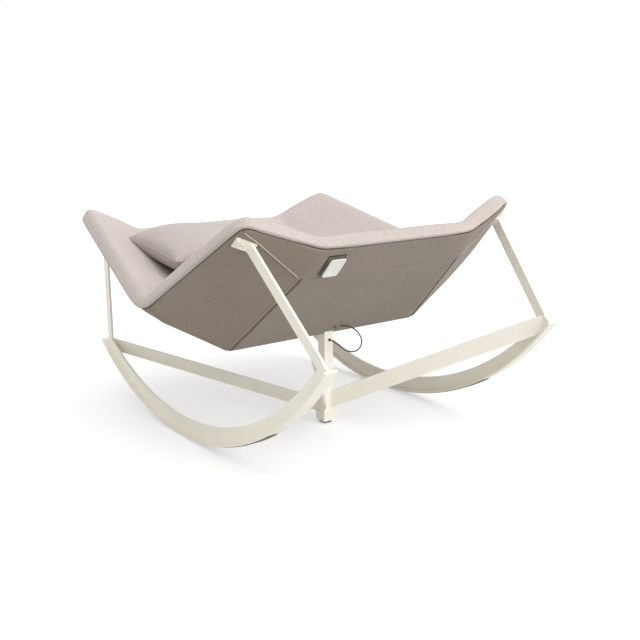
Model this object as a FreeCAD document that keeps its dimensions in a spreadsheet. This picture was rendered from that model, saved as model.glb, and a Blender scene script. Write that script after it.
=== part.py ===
import FreeCAD, Part
import math
import os
import Sketcher
from FreeCAD import Placement, Rotation, Vector

# Rocking chaise lounge. Origin on the floor below the centre post, +Z up, front (lever side) at -Y,
# the two rockers at -X and +X. Millimetres and degrees.

os.makedirs("parts", exist_ok=True)
doc = FreeCAD.newDocument("rocking_chaise")
sheet = doc.addObject("Spreadsheet::Sheet", "sizes")

SIZES = [
    # rockers
    ("rocker_radius", 1101),
    ("rocker_spacing", 996),
    ("contact_back", 212),
    ("front_sweep", 53.4),
    ("back_sweep", 37.2),
    ("tread_width", 46),
    ("tread_thick", 8),
    ("web_thick", 8),
    ("web_mid_height", 56),
    ("web_end_height", 40),
    ("web_end_setback", 7),
    ("liner_width", 30),
    ("liner_thick", 3),
    ("liner_front_sweep", 32),
    ("liner_back_sweep", 27),
    # legs
    ("leg_width", 38),
    ("leg_thick", 8),
    ("leg_foot_setback", 22),
    ("pad_length", 50),
    ("front_pad_inside", 39),
    ("front_pad_behind", 25),
    ("front_pad_below", 66),
    ("back_pad_along", 0.80),
    ("back_pad_across", 0.16),
    # arms
    ("arm_thick", 8),
    ("front_arm_tall", 62),
    ("back_arm_tall", 50),
    ("front_arm_at_post", 83),
    ("back_arm_at_post", 61),
    ("arm_front_height", 436),
    ("arm_front_reach", 620),
    ("arm_back_height", 219),
    ("arm_back_reach", 838),
    # post
    ("post_size", 40),
    ("post_wall", 3),
    ("post_foot", 12),
    ("block_size", 52),
    ("block_foot", 10),
    ("block_tall", 37),
    ("saddle_width", 90),
    ("saddle_thick", 5),
    ("saddle_front", 62),
    ("saddle_back", 70),
    # brake
    ("brake_fit", 0.3),
    ("brake_travel", 12),
    ("brake_pad_height", 12),
    ("plunger_height", 58),
    ("spring_wire", 2.4),
    ("spring_mean", 20),
    ("spring_turns", 7),
    ("spring_stop_height", 154),
    ("spring_stop_thick", 4),
    ("wire_size", 1.6),
    ("elbow_height", 331),
    ("elbow_tall", 34),
    ("elbow_deep", 26),
    ("elbow_wide", 20),
    ("grommet_size", 11),
    ("grommet_neck", 8),
    ("grommet_flange", 2),
    # cable
    ("cable_size", 5),
    ("cable_tunnel_gap", 0.4),
    # lever
    ("lever_offset", 260),
    ("lever_up_slope", 57),
    ("lever_wide", 62),
    ("lever_long", 84),
    ("lever_thick", 4),
    ("lever_stand_off", 11),
    ("lever_gap", 1.5),
    ("housing_wall", 2),
    ("housing_depth", 34),
    ("housing_lip", 2),
    ("housing_lip_proud", 1),
    ("lever_pin_size", 6),
    ("lever_pin_up", 9),
    ("lever_pin_depth", 9),
    ("lever_rib_thick", 12),
    ("lever_rib_long", 26),
    ("lever_hub_wall", 5),
    ("pin_fit", 0.05),
    # shell, outer corners
    ("ridge_half", 437),
    ("ridge_front", 6),
    ("ridge_height", 352),
    ("knee_half", 357),
    ("knee_front", 331),
    ("knee_height", 652),
    ("rim_front_half", 330),
    ("rim_front_reach", 421),
    ("rim_front_height", 752),
    ("front_peak_half", 593),
    ("front_peak_reach", 358),
    ("front_peak_height", 839),
    ("end_half", 750),
    ("end_back", 24),
    ("end_height", 528.4),
    ("back_peak_half", 600),
    ("back_peak_reach", 812),
    ("back_peak_height", 752),
    ("back_rim_reach", 862),
    ("back_rim_height", 642),
    ("lumbar_reach", 420),
    ("lumbar_height", 470),
    # shell, layers
    ("cover_thick", 3),
    ("cover_gap", 0.3),
    ("core_thick", 14),
    ("pad_thick", 33),
    ("core_rim_inset", 14),
    ("welt_width", 5),
    ("welt_proud", 1),
    ("zip_width", 7),
    ("zip_thick", 2),
    # fasteners
    ("screw_size", 6),
    ("screw_head", 12),
    ("screw_head_tall", 3.5),
    ("screw_length", 24),
    ("screw_pitch", 17),
    ("insert_size", 9),
    # pillow
    ("pillow_wide", 600),
    ("pillow_long", 400),
    ("pillow_tall", 196),
    ("pillow_left", 222),
    ("pillow_back", 400),
    ("pillow_pitch", 5.7),
    ("pillow_roll", 5.2),
    ("pillow_gap", 0.3),
]
for row, (alias, value) in enumerate(SIZES, 1):
    sheet.set("A%d" % row, alias)
    sheet.set("B%d" % row, str(value))
    sheet.setAlias("B%d" % row, alias)
doc.recompute()


def size(alias):
    return float(sheet.get(alias))


def bound(obj, **props):
    for prop, alias in props.items():
        expression = "sizes." + alias if alias in NAMES else alias
        obj.setExpression(prop, expression)
    return obj


NAMES = {alias for alias, value in SIZES}
PIECES = []


def piece(obj, label):
    obj.Label = label
    PIECES.append(obj)
    return obj


def boolean(kind, name, base, tool):
    obj = doc.addObject("Part::" + kind, name)
    obj.Base = base
    obj.Tool = tool
    return obj


def cut(name, base, *tools):
    for index, tool in enumerate(tools):
        base = boolean("Cut", "%s_cut%d" % (name, index), base, tool)
    return base


def common(name, base, tool):
    return boolean("Common", name + "_common", base, tool)


def fuse(name, base, tool):
    return boolean("Fuse", name + "_fuse", base, tool)


def mirrored(label, source):
    obj = doc.addObject("Part::Mirroring", label)
    obj.Source = source
    obj.Normal = Vector(1, 0, 0)
    obj.Base = Vector(0, 0, 0)
    return obj


def box(name, length, width, height, place=None, **props):
    obj = doc.addObject("Part::Box", name)
    bound(obj, Length=length, Width=width, Height=height)
    if place is not None:
        obj.Placement = place
    return obj


def rod(name, radius, height, place, angle=None):
    obj = doc.addObject("Part::Cylinder", name)
    bound(obj, Radius=radius, Height=height)
    if angle is not None:
        obj.setExpression("Angle", angle)
    obj.Placement = place
    return obj


def frame(origin, x_axis, y_axis):
    # placement whose own X and Y lie along the two given directions
    x_axis = Vector(x_axis).normalize()
    z_axis = x_axis.cross(Vector(y_axis)).normalize()
    return Placement(origin, Rotation(x_axis, z_axis.cross(x_axis), z_axis, "ZXY"))


def shape_piece(name, shape):
    obj = doc.addObject("Part::Feature", name)
    obj.Shape = shape
    return obj


# rockers
radius = size("rocker_radius")
half_spacing = size("rocker_spacing") / 2
centre = Vector(0, size("contact_back"), radius)
liner = size("liner_thick")
tread = size("tread_thick")
front = math.radians(size("front_sweep"))
back = math.radians(size("back_sweep"))


def ring_sector(name, outer, inner, start, stop, x0, x1):
    # flat-sided curved strip between two radii about the rocker centre, as an extruded sketch profile
    def point(reach, angle):
        return Vector(reach * math.sin(angle), -reach * math.cos(angle), 0)

    middle_angle = (start + stop) / 2
    edges = [
        Part.Arc(point(outer, start), point(outer, middle_angle), point(outer, stop)).toShape(),
        Part.LineSegment(point(outer, stop), point(inner, stop)).toShape(),
        Part.Arc(point(inner, stop), point(inner, middle_angle), point(inner, start)).toShape(),
        Part.LineSegment(point(inner, start), point(outer, start)).toShape(),
    ]
    return edges


def profile_body(name, edges, place, thickness, reverse=False):
    # a body whose one sketch holds the given closed profile, padded by the named thickness
    body = doc.addObject("PartDesign::Body", name)
    sketch = body.newObject("Sketcher::SketchObject", name + "_profile")
    plane = [f for f in body.Origin.OriginFeatures if f.Role == "XY_Plane"][0]
    sketch.AttachmentSupport = [(plane, "")]
    sketch.MapMode = "FlatFace"
    for edge in edges:
        curve = edge.Curve
        if isinstance(curve, Part.Circle):
            first = edge.valueAt(edge.FirstParameter)
            last = edge.valueAt(edge.LastParameter)
            middle = edge.valueAt((edge.FirstParameter + edge.LastParameter) / 2)
            sketch.addGeometry(Part.Arc(first, middle, last), False)
        else:
            sketch.addGeometry(Part.LineSegment(edge.Vertexes[0].Point, edge.Vertexes[-1].Point), False)
    pad = body.newObject("PartDesign::Pad", name + "_pad")
    pad.Profile = sketch
    pad.setExpression("Length", thickness)
    pad.Midplane = True
    body.Tip = pad
    body.Placement = place
    return body


def polygon_edges(points):
    points = [Vector(*p) for p in points]
    return [
        Part.LineSegment(a, b).toShape() for a, b in zip(points, points[1:] + points[:1])
    ]


def in_profile_plane(x):
    # sketch X along the model's Y, sketch Y along Z, sketch Z along X
    return Placement(Vector(x, 0, 0), Rotation(Vector(0, 1, 0), Vector(0, 0, 1), Vector(1, 0, 0), "ZXY"))


def rocker_plane(x):
    return Placement(
        Vector(x, centre.y, centre.z),
        Rotation(Vector(0, 1, 0), Vector(0, 0, 1), Vector(1, 0, 0), "ZXY"),
    )


tread_top = radius - liner - tread
setback = size("web_end_setback") / tread_top


def crest(height, angle):
    reach = tread_top - height
    return Vector(reach * math.sin(angle), -reach * math.cos(angle), 0)


# the web's upper edge is one arc, tallest over the floor contact and lower at both ends
web_low_front = crest(size("web_end_height"), -front + setback)
web_low_back = crest(size("web_end_height"), back - setback)
web_high = crest(size("web_mid_height"), 0)
web_edge = Part.Arc(web_low_back, web_high, web_low_front).toShape()
web_circle = web_edge.Curve


def tread_point(angle):
    return Vector(tread_top * math.sin(angle), -tread_top * math.cos(angle), 0)


tread_edges = ring_sector("tread", radius - liner, tread_top, -front, back, 0, 0)
liner_edges = ring_sector(
    "liner",
    radius,
    radius - liner,
    -math.radians(size("liner_front_sweep")),
    math.radians(size("liner_back_sweep")),
    0,
    0,
)
web_edges = [
    Part.Arc(tread_point(-front + setback), tread_point(0), tread_point(back - setback)).toShape(),
    Part.LineSegment(tread_point(back - setback), web_low_back).toShape(),
    web_edge,
    Part.LineSegment(web_low_front, tread_point(-front + setback)).toShape(),
]
for side, name in ((-1, "left"), (1, "right")):
    place = rocker_plane(side * half_spacing)
    piece(profile_body(name + "_tread", tread_edges, place, "sizes.tread_width"), name + "_rocker_tread")
    piece(profile_body(name + "_liner", liner_edges, place, "sizes.liner_width"), name + "_tread_liner")
    piece(profile_body(name + "_web", web_edges, place, "sizes.web_thick"), name + "_rocker_web")

# shell corners
ridge = Vector(size("ridge_half"), -size("ridge_front"), size("ridge_height"))
knee = Vector(size("knee_half"), -size("knee_front"), size("knee_height"))
rim_front = Vector(size("rim_front_half"), -size("rim_front_reach"), size("rim_front_height"))
front_peak = Vector(size("front_peak_half"), -size("front_peak_reach"), size("front_peak_height"))
back_peak = Vector(size("back_peak_half"), size("back_peak_reach"), size("back_peak_height"))


def plane_normal(a, b, c):
    return (b - a).cross(c - a).normalize()


side_normal = plane_normal(ridge, knee, front_peak)
if side_normal.x < 0:
    side_normal = side_normal * -1
end = Vector(size("end_half"), size("end_back"), size("end_height"))
wing_normal = plane_normal(ridge, end, back_peak)
if wing_normal.x < 0:
    wing_normal = wing_normal * -1


def on_wing(y, z):
    # the corner of the back wing's plane at a given reach and height
    x = ridge.x - (wing_normal.y * (y - ridge.y) + wing_normal.z * (z - ridge.z)) / wing_normal.x
    return Vector(x, y, z)


lumbar = on_wing(size("lumbar_reach"), size("lumbar_height"))
rim_back = on_wing(size("back_rim_reach"), size("back_rim_height"))

RIGHT = {
    "F": rim_front,
    "N": front_peak,
    "V": end,
    "L": back_peak,
    "G": rim_back,
    "S": knee,
    "P": ridge,
    "Q": lumbar,
}
OUTER = {}
for key, point in RIGHT.items():
    OUTER[key + "r"] = point
    OUTER[key + "l"] = Vector(-point.x, point.y, point.z)

# each facet's corners run anticlockwise seen from outside the shell
FACETS = {
    "upper_front": ["Fr", "Fl", "Sl", "Sr"],
    "front": ["Sr", "Sl", "Pl", "Pr"],
    "seat": ["Pr", "Pl", "Ql", "Qr"],
    "back": ["Qr", "Ql", "Gl", "Gr"],
    "front_corner_right": ["Sr", "Nr", "Fr"],
    "right_front": ["Pr", "Vr", "Nr", "Sr"],
    "right_back": ["Pr", "Qr", "Gr", "Lr", "Vr"],
    "front_corner_left": ["Sl", "Fl", "Nl"],
    "left_front": ["Pl", "Sl", "Nl", "Vl"],
    "left_back": ["Pl", "Vl", "Ll", "Gl", "Ql"],
}
MIDDLE = Vector(0, 150, 900)


def facet_normal(corners):
    total = Vector()
    for a, b in zip(corners, corners[1:] + corners[:1]):
        total = total + a.cross(b)
    total.normalize()
    if total.dot(corners[0] - MIDDLE) < 0:
        total = total * -1
    return total


NORMALS = {name: facet_normal([OUTER[k] for k in keys]) for name, keys in FACETS.items()}


def inward(key):
    # the move that takes a corner 1 mm into the shell off every facet that meets there
    normals = [NORMALS[name] for name, keys in FACETS.items() if key in keys]
    m = [[0.0] * 3 for _ in range(3)]
    r = [0.0] * 3
    for n in normals:
        v = (n.x, n.y, n.z)
        for i in range(3):
            r[i] -= v[i]
            for j in range(3):
                m[i][j] += v[i] * v[j]
    for i in range(3):
        m[i][i] += 1e-4
    matrix = FreeCAD.Matrix(
        m[0][0], m[0][1], m[0][2], 0, m[1][0], m[1][1], m[1][2], 0, m[2][0], m[2][1], m[2][2], 0, 0, 0, 0, 1
    )
    return matrix.inverse().multVec(Vector(*r))


INWARD = {key: inward(key) for key in OUTER}
# the direction down the shell from each rim corner
DOWN = {"F": ("S",), "N": ("S",), "V": ("P",), "L": ("P", "Q"), "G": ("Q",)}


def corner(key, depth, inset=0.0):
    # a shell corner at a depth below the outer surface, drawn down from the rim by an inset
    point = OUTER[key] + INWARD[key] * depth
    if inset and key[0] in DOWN:
        goal = Vector()
        for name in DOWN[key[0]]:
            goal = goal + OUTER[name + key[1]]
        goal = goal * (1.0 / len(DOWN[key[0]]))
        point = point + (goal - OUTER[key]).normalize() * inset
    return point


def triangle(a, b, c):
    return Part.Face(Part.makePolygon([a, b, c, a]))


def fan(points):
    return [triangle(points[0], points[i], points[i + 1]) for i in range(1, len(points) - 1)]


def wall(a, b, low_a, low_b, high_a, high_b):
    # wall over one facet edge; its diagonal depends on the corner names only, so both neighbours share it
    if a < b:
        return [triangle(low_a, low_b, high_b), triangle(low_a, high_b, high_a)]
    return [triangle(low_b, low_a, high_a), triangle(low_b, high_a, high_b)]


def closed(faces):
    shell = Part.makeShell(faces)
    shell.sewShape()
    solid = Part.makeSolid(shell)
    if solid.Volume < 0:
        solid.reverse()
    return solid


def slab(keys, low, high):
    # solid between two copies of a facet
    faces = fan(low) + fan(high)
    for i in range(len(keys)):
        j = (i + 1) % len(keys)
        faces += wall(keys[i], keys[j], low[i], low[j], high[i], high[j])
    return closed(faces)


def foam_block(name, low, mid, high, inset):
    # the pad of a facet: full size from mid to high, and round the core's edge down to low at the rim
    keys = FACETS[name]
    top = {k: corner(k, high) for k in keys}
    seat = {k: corner(k, mid, inset) for k in keys}
    lip_in = {k: corner(k, low, inset) for k in keys}
    lip_out = {k: corner(k, low) for k in keys}
    faces = fan([top[k] for k in keys]) + fan([seat[k] for k in keys])
    for a, b in zip(keys, keys[1:] + keys[:1]):
        rims = [k for k in (a, b) if k[0] in DOWN]
        if len(rims) == 2:
            faces += wall(a, b, lip_out[a], lip_out[b], top[a], top[b])
            faces += wall(a, b, lip_out[a], lip_out[b], lip_in[a], lip_in[b])
            faces += wall(a, b, lip_in[a], lip_in[b], seat[a], seat[b])
        elif len(rims) == 1:
            r = rims[0]
            n = b if r == a else a
            faces.append(triangle(seat[n], seat[r], top[n]))
            faces.append(triangle(seat[r], top[r], top[n]))
            faces.append(triangle(seat[r], lip_out[r], top[r]))
            faces.append(triangle(seat[r], lip_in[r], lip_out[r]))
        else:
            faces += wall(a, b, seat[a], seat[b], top[a], top[b])
    return closed(faces)


def layer(name, depth0, depth1, inset=0.0, shrink=None):
    keys = FACETS[name]
    low = [corner(k, depth0, inset) for k in keys]
    high = [corner(k, depth1, inset) for k in keys]
    if shrink:
        low = shrink(keys, low)
        high = shrink(keys, high)
    return slab(keys, low, high)


cover = size("cover_thick")
core_depth = cover + size("core_thick")
full_depth = core_depth + size("pad_thick")



def other_side(shape):
    return shape.mirror(Vector(0, 0, 0), Vector(1, 0, 0))


def add_right_side(shapes):
    # the three panels on the right are mirror images of those on the left
    for name in ("front_corner", "front", "back"):
        left = name + "_left" if name == "front_corner" else "left_" + name
        right = name + "_right" if name == "front_corner" else "right_" + name
        shapes[right] = other_side(shapes[left])


BUILT = [name for name in FACETS if "right" not in name]
core_slabs = {name: layer(name, cover, core_depth, size("core_rim_inset")) for name in BUILT}
add_right_side(core_slabs)
core_shape = None
for name in FACETS:
    core_shape = core_slabs[name] if core_shape is None else core_shape.fuse(core_slabs[name])
core_shape = core_shape.removeSplitter()

pad_shapes = {}
for name in BUILT:
    pad_shapes[name] = foam_block(name, cover, core_depth, full_depth, size("core_rim_inset"))
add_right_side(pad_shapes)


def pull(names, amount):
    # moves the named corners of a facet along its own edges, away from a seam
    def shrink(keys, points):
        result = list(points)
        for here, there in names:
            if here in keys and there in keys:
                i = keys.index(here)
                j = keys.index(there)
                result[i] = points[i] + (points[j] - points[i]).normalize() * amount
        return result

    return shrink


welt = size("welt_width")
clear = size("cover_gap")
zip_width = size("zip_width")
cover_shapes = {}
for name in BUILT:
    if name == "left_front":
        cover_shapes[name] = layer(
            name, 0, cover - clear, welt + clear, pull([("Sl", "Nl"), ("Pl", "Vl")], zip_width)
        )
    else:
        cover_shapes[name] = layer(name, 0, cover - clear, welt + clear)
add_right_side(cover_shapes)

# zip tapes lie on the core in the slots that the side covers leave beside the front cover
zip_shapes = []
for side, name in (("l", "left_front"),):
    low = cover - size("zip_thick")
    base = [corner("S" + side, cover), corner("P" + side, cover)]
    over = [corner("S" + side, low), corner("P" + side, low)]
    away = [
        pull([("S" + side, "N" + side), ("P" + side, "V" + side)], zip_width - 0.6)(
            FACETS[name], [corner(k, d) for k in FACETS[name]]
        )
        for d in (cover, low)
    ]
    keys = FACETS[name]
    far = [[pts[keys.index("S" + side)], pts[keys.index("P" + side)]] for pts in away]
    for pair, near in ((far[0], base), (far[1], over)):
        for i in range(2):
            near[i] = near[i] + (pair[i] - near[i]).normalize() * 0.6
    quad = ["a", "b", "c", "d"]
    zip_shapes.append(
        slab(quad, [base[0], base[1], far[0][1], far[0][0]], [over[0], over[1], far[1][1], far[1][0]])
    )

zip_shapes.append(other_side(zip_shapes[0]))

# welt: one closed strip round the rim, between the covers and the rim corner
RIM = ["Fr", "Nr", "Vr", "Lr", "Gr", "Gl", "Ll", "Vl", "Nl", "Fl"]
welt_shape = None
proud = -size("welt_proud")
for a, b in zip(RIM, RIM[1:] + RIM[:1]):
    low = [corner(a, proud), corner(b, proud), corner(b, proud, welt), corner(a, proud, welt)]
    high = [corner(a, cover), corner(b, cover), corner(b, cover, welt), corner(a, cover, welt)]
    part = slab([a, b, b + "i", a + "i"], low, high)
    welt_shape = part if welt_shape is None else welt_shape.fuse(part)
welt_shape = welt_shape.removeSplitter()

# legs
foot_angle_front = -front + size("leg_foot_setback") / tread_top
foot_angle_back = back - size("leg_foot_setback") / tread_top
web_disc_centre = Vector(0, centre.y + web_circle.Center.x, centre.z + web_circle.Center.y)
web_disc_radius = web_circle.Radius


def web_top(angle, x):
    # where a ray from the rocker centre meets the web's upper edge
    ray = Vector(0, math.sin(angle), -math.cos(angle))
    to = Vector(0, centre.y, centre.z) - web_disc_centre
    b = to.dot(ray)
    c = to.dot(to) - web_disc_radius**2
    reach = -b + math.sqrt(b * b - c)
    return Vector(x, centre.y + ray.y * reach, centre.z + ray.z * reach)


def flat_bar(name, start, stop, width, thick, width_hint, run_before, run_after):
    # bar along start-stop; its thickness lies along the face direction nearest to the hint's normal
    axis = (stop - start).normalize()
    across = axis.cross(width_hint).normalize()
    normal = axis.cross(across).normalize()
    origin = start - axis * run_before - across * (size(width) / 2) - normal * (size(thick) / 2)
    place = frame(origin, axis, across)
    length = (stop - start).Length + run_before + run_after
    obj = doc.addObject("Part::Box", name)
    obj.Length = length
    bound(obj, Width=width, Height=thick)
    obj.Placement = place
    return obj, axis, across, normal


def leg(name, foot, bend, pad_end, face_normal, pad_long):
    foot_side = Vector(1, 0, 0)
    bar, axis, across, normal = flat_bar(
        name + "_bar", foot, bend, "leg_width", "leg_thick", foot_side, 60, 60
    )
    # trimmed below by the web's upper edge and above by the cover's outer face
    disc = rod(
        name + "_seat",
        "%.6f" % web_disc_radius,
        "2 * sizes.end_half",
        Placement(Vector(-size("end_half"), web_disc_centre.y, web_disc_centre.z), Rotation(Vector(0, 1, 0), 90)),
    )
    standing = common(name + "_stand", bar, disc)
    u = (pad_end - bend).normalize()
    v = face_normal.cross(u).normalize()
    tool = doc.addObject("Part::Box", name + "_face")
    room = size("end_half")
    bound(tool, Length="end_half", Width="end_half", Height="end_half")
    tool.Placement = frame(bend - (u + v) * (room / 2), u, v)
    if tool.Placement.Rotation.multVec(Vector(0, 0, 1)).dot(face_normal) > 0:
        tool.Placement = frame(bend - (u + v) * (room / 2), v, u)
    trimmed = cut(name + "_trim", standing, tool)
    plate = doc.addObject("Part::Box", name + "_plate")
    bound(plate, Width="leg_width", Height="leg_thick")
    plate.setExpression("Length", "sizes." + pad_long + " + sizes.leg_width / 2")
    start = bend - u * (size("leg_width") / 2)
    width = size("leg_width") / 2
    place = frame(start - v * width, u, v)
    if place.Rotation.multVec(Vector(0, 0, 1)).dot(face_normal) < 0:
        place = frame(start + v * width, u, v * -1)
    plate.Placement = place
    whole = fuse(name + "_whole", trimmed, plate)
    return whole, u, v


# front leg: its bend lies on the side facet, below and inside the peak
bend_front = front_peak + Vector(
    -size("front_pad_inside"), size("front_pad_behind"), -size("front_pad_below")
)
bend_front = bend_front - side_normal * (bend_front - ridge).dot(side_normal)
pad_front_dir = Vector(45, 11, 18)
pad_front_dir = (pad_front_dir - side_normal * pad_front_dir.dot(side_normal)).normalize()
foot_front = web_top(foot_angle_front, half_spacing)
front_leg, front_u, front_v = leg(
    "front_leg", foot_front, bend_front, bend_front + pad_front_dir, side_normal, "pad_length"
)

# back leg: its bend lies on the back wing near the back peak
wing_along = back_peak - end
bend_back = end + wing_along * size("back_pad_along") + (ridge - end) * size("back_pad_across")
bend_back = bend_back - wing_normal * (bend_back - ridge).dot(wing_normal)
pad_back_dir = Vector(-0.2, -1, 0)
pad_back_dir = (pad_back_dir - wing_normal * pad_back_dir.dot(wing_normal)).normalize()
foot_back = web_top(foot_angle_back, half_spacing)
back_leg, back_u, back_v = leg(
    "back_leg", foot_back, bend_back, bend_back + pad_back_dir, wing_normal, "pad_length"
)

# screws: a row of two and one beside them through each leg pad
screw_spots = []
pitch = size("screw_pitch")
for bend, u, v, normal in (
    (bend_front, front_u, front_v, side_normal),
    (bend_back, back_u, back_v, wing_normal),
):
    for along, across in ((1.45, 0.0), (2.4, 0.42), (2.4, -0.42)):
        spot = bend + u * (pitch * along) + v * (pitch * across)
        screw_spots.append((spot, normal))

leg_thick = size("leg_thick")


def drilled(name, source, spots, radius, start, stop):
    # holes along each spot's normal, from one height above the outer face to another
    tools = []
    for index, (spot, normal) in enumerate(spots):
        place = Placement(spot + normal * start, Rotation(Vector(0, 0, 1), normal * -1))
        tools.append(rod("%s_hole%d" % (name, index), radius, "%.6f" % (start - stop), place))
    return cut(name, source, *tools)


screw_radius = "sizes.screw_size / 2"
front_ready = drilled("front_leg_drilled", front_leg, screw_spots[:3], screw_radius, 20, -1)
back_ready = drilled("back_leg_drilled", back_leg, screw_spots[3:], screw_radius, 20, -1)
piece(front_ready, "front_right_leg")
piece(mirrored("front_left_leg_m", front_ready), "front_left_leg")
piece(back_ready, "back_right_leg")
piece(mirrored("back_left_leg_m", back_ready), "back_left_leg")


def both_sides(shape):
    return [shape, other_side(shape)]


screw_solids = []
insert_solids = []
shank = size("screw_size") / 2
head = size("screw_head") / 2
head_tall = size("screw_head_tall")
insert_reach = core_depth
for spot, normal in screw_spots:
    top = spot + normal * leg_thick
    body = Part.makeCylinder(shank, size("screw_length"), top, normal * -1)
    cap = Part.makeCylinder(head, head_tall, top, normal)
    cap = cap.makeFillet(head_tall * 0.45, [cap.Edges[0] if cap.Edges[0].Curve.Center.sub(top).Length > 1 else cap.Edges[2]])
    screw_solids += both_sides(body.fuse(cap).removeSplitter())
    outer = Part.makeCylinder(size("insert_size") / 2, core_depth - cover, spot - normal * cover, normal * -1)
    inner = Part.makeCylinder(shank, core_depth, spot, normal * -1)
    insert_solids += both_sides(outer.cut(inner))
screws = shape_piece("leg_screws_group", Part.makeCompound(screw_solids))
inserts = shape_piece("inserts_group", Part.makeCompound(insert_solids))
piece(screws, "leg_screws")
piece(inserts, "threaded_inserts")

# saddle and post
front_slope = (knee - ridge)
front_dir = Vector(0, front_slope.y, front_slope.z).normalize()
back_slope = (lumbar - ridge)
back_dir = Vector(0, back_slope.y, back_slope.z).normalize()


def bent_plate(offset):
    # section corners of the saddle's face at a distance outside the front and seat facets
    n1 = Vector(0, front_dir.z, -front_dir.y)
    if n1.z > 0:
        n1 = n1 * -1
    n2 = Vector(0, -back_dir.z, back_dir.y)
    if n2.z > 0:
        n2 = n2 * -1
    a = Vector(0, ridge.y, ridge.z)
    k = (1 - n1.dot(n2)) / (n1.dot(back_dir)) if abs(n1.dot(back_dir)) > 1e-9 else 0
    middle = a + (n2 + back_dir * k) * offset
    front_end = a + front_dir * size("saddle_front") + n1 * offset
    back_end = a + back_dir * size("saddle_back") + n2 * offset
    return front_end, middle, back_end


saddle_depth = size("cover_thick")
upper = bent_plate(-saddle_depth - size("saddle_thick"))
lower = bent_plate(-saddle_depth)
saddle_points = [(p.y, p.z, 0) for p in (upper[0], upper[1], upper[2], lower[2], lower[1], lower[0])]
saddle_body = profile_body("saddle", polygon_edges(saddle_points), in_profile_plane(0), "sizes.saddle_width")

far_up = 500
tool_points = [
    (lower[0] + (lower[0] - lower[1]) * 3),
    lower[1],
    (lower[2] + (lower[2] - lower[1]) * 3),
]
above = [(p.y, p.z, 0) for p in tool_points]
above += [(tool_points[2].y, tool_points[2].z + far_up, 0), (tool_points[0].y, tool_points[2].z + far_up, 0)]
above_tool = profile_body("post_top_tool", polygon_edges(above), in_profile_plane(0), "sizes.saddle_width * 3")

post_half = size("post_size") / 2
post_long = ridge.z + 60
post_outer = box(
    "post_outer",
    "post_size",
    "post_size",
    "%.4f" % (post_long - size("post_foot")),
    Placement(Vector(-post_half, -post_half, size("post_foot")), Rotation()),
)
bore_half = post_half - size("post_wall")
post_inner = box(
    "post_inner",
    "sizes.post_size - 2 * sizes.post_wall",
    "sizes.post_size - 2 * sizes.post_wall",
    "%.4f" % (post_long + 20),
    Placement(Vector(-bore_half, -bore_half, -10), Rotation()),
)
grommet_z = size("elbow_height")
grommet_hole = rod(
    "grommet_hole",
    "sizes.grommet_neck / 2",
    "sizes.post_wall + 8",
    Placement(Vector(3, -post_half - 4, grommet_z), Rotation(Vector(0, 0, 1), Vector(0, 1, 0))),
)
post_tube = cut("post_tube", post_outer, post_inner, above_tool, grommet_hole)
piece(post_tube, "centre_post")

block_half = size("block_size") / 2
block_outer = box(
    "block_outer",
    "block_size",
    "block_size",
    "block_tall",
    Placement(Vector(-block_half, -block_half, size("block_foot")), Rotation()),
)
block_inner = box(
    "block_inner",
    "post_size",
    "post_size",
    "sizes.block_foot + sizes.block_tall + 20",
    Placement(Vector(-post_half, -post_half, -10), Rotation()),
)
piece(cut("block", block_outer, block_inner), "foot_guide_block")

# arms
arm_tool = box(
    "arm_post_tool",
    "post_size",
    "post_size",
    "600",
    Placement(Vector(-post_half, -post_half, -50), Rotation()),
)
arm_block_tool = box(
    "arm_block_tool",
    "block_size",
    "block_size",
    "block_tall",
    Placement(Vector(-block_half, -block_half, size("block_foot")), Rotation()),
)
arm_disc = rod(
    "arm_disc",
    "sizes.rocker_radius - sizes.liner_thick - sizes.tread_thick",
    "sizes.rocker_spacing - sizes.web_thick",
    Placement(
        Vector(-half_spacing + size("web_thick") / 2, centre.y, centre.z), Rotation(Vector(0, 1, 0), 90)
    ),
)


def arm(name, reach, height, at_post, tall):
    start = Vector(0, 0, size(at_post))
    stop = Vector(half_spacing, reach, height)
    axis = (stop - start).normalize()
    side = axis.cross(Vector(0, 0, 1)).normalize()
    up = side.cross(axis).normalize()
    origin = start - side * (size("arm_thick") / 2) - up * (size(tall) / 2)
    obj = doc.addObject("Part::Box", name + "_bar")
    obj.Length = (stop - start).Length + 80
    bound(obj, Width="arm_thick", Height=tall)
    obj.Placement = frame(origin, axis, side)
    if obj.Placement.Rotation.multVec(Vector(0, 0, 1)).dot(up) < 0:
        obj.Placement = frame(origin + side * size("arm_thick"), axis, side * -1)
    return cut(name, common(name, obj, arm_disc), arm_tool, arm_block_tool)


front_arm = arm(
    "front_arm", -size("arm_front_reach"), size("arm_front_height"), "front_arm_at_post", "front_arm_tall"
)
back_arm = arm("back_arm", size("arm_back_reach"), size("arm_back_height"), "back_arm_at_post", "back_arm_tall")
piece(front_arm, "front_right_arm")
piece(mirrored("front_left_arm_m", front_arm), "front_left_arm")
piece(back_arm, "back_right_arm")
piece(mirrored("back_left_arm_m", back_arm), "back_left_arm")

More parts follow.
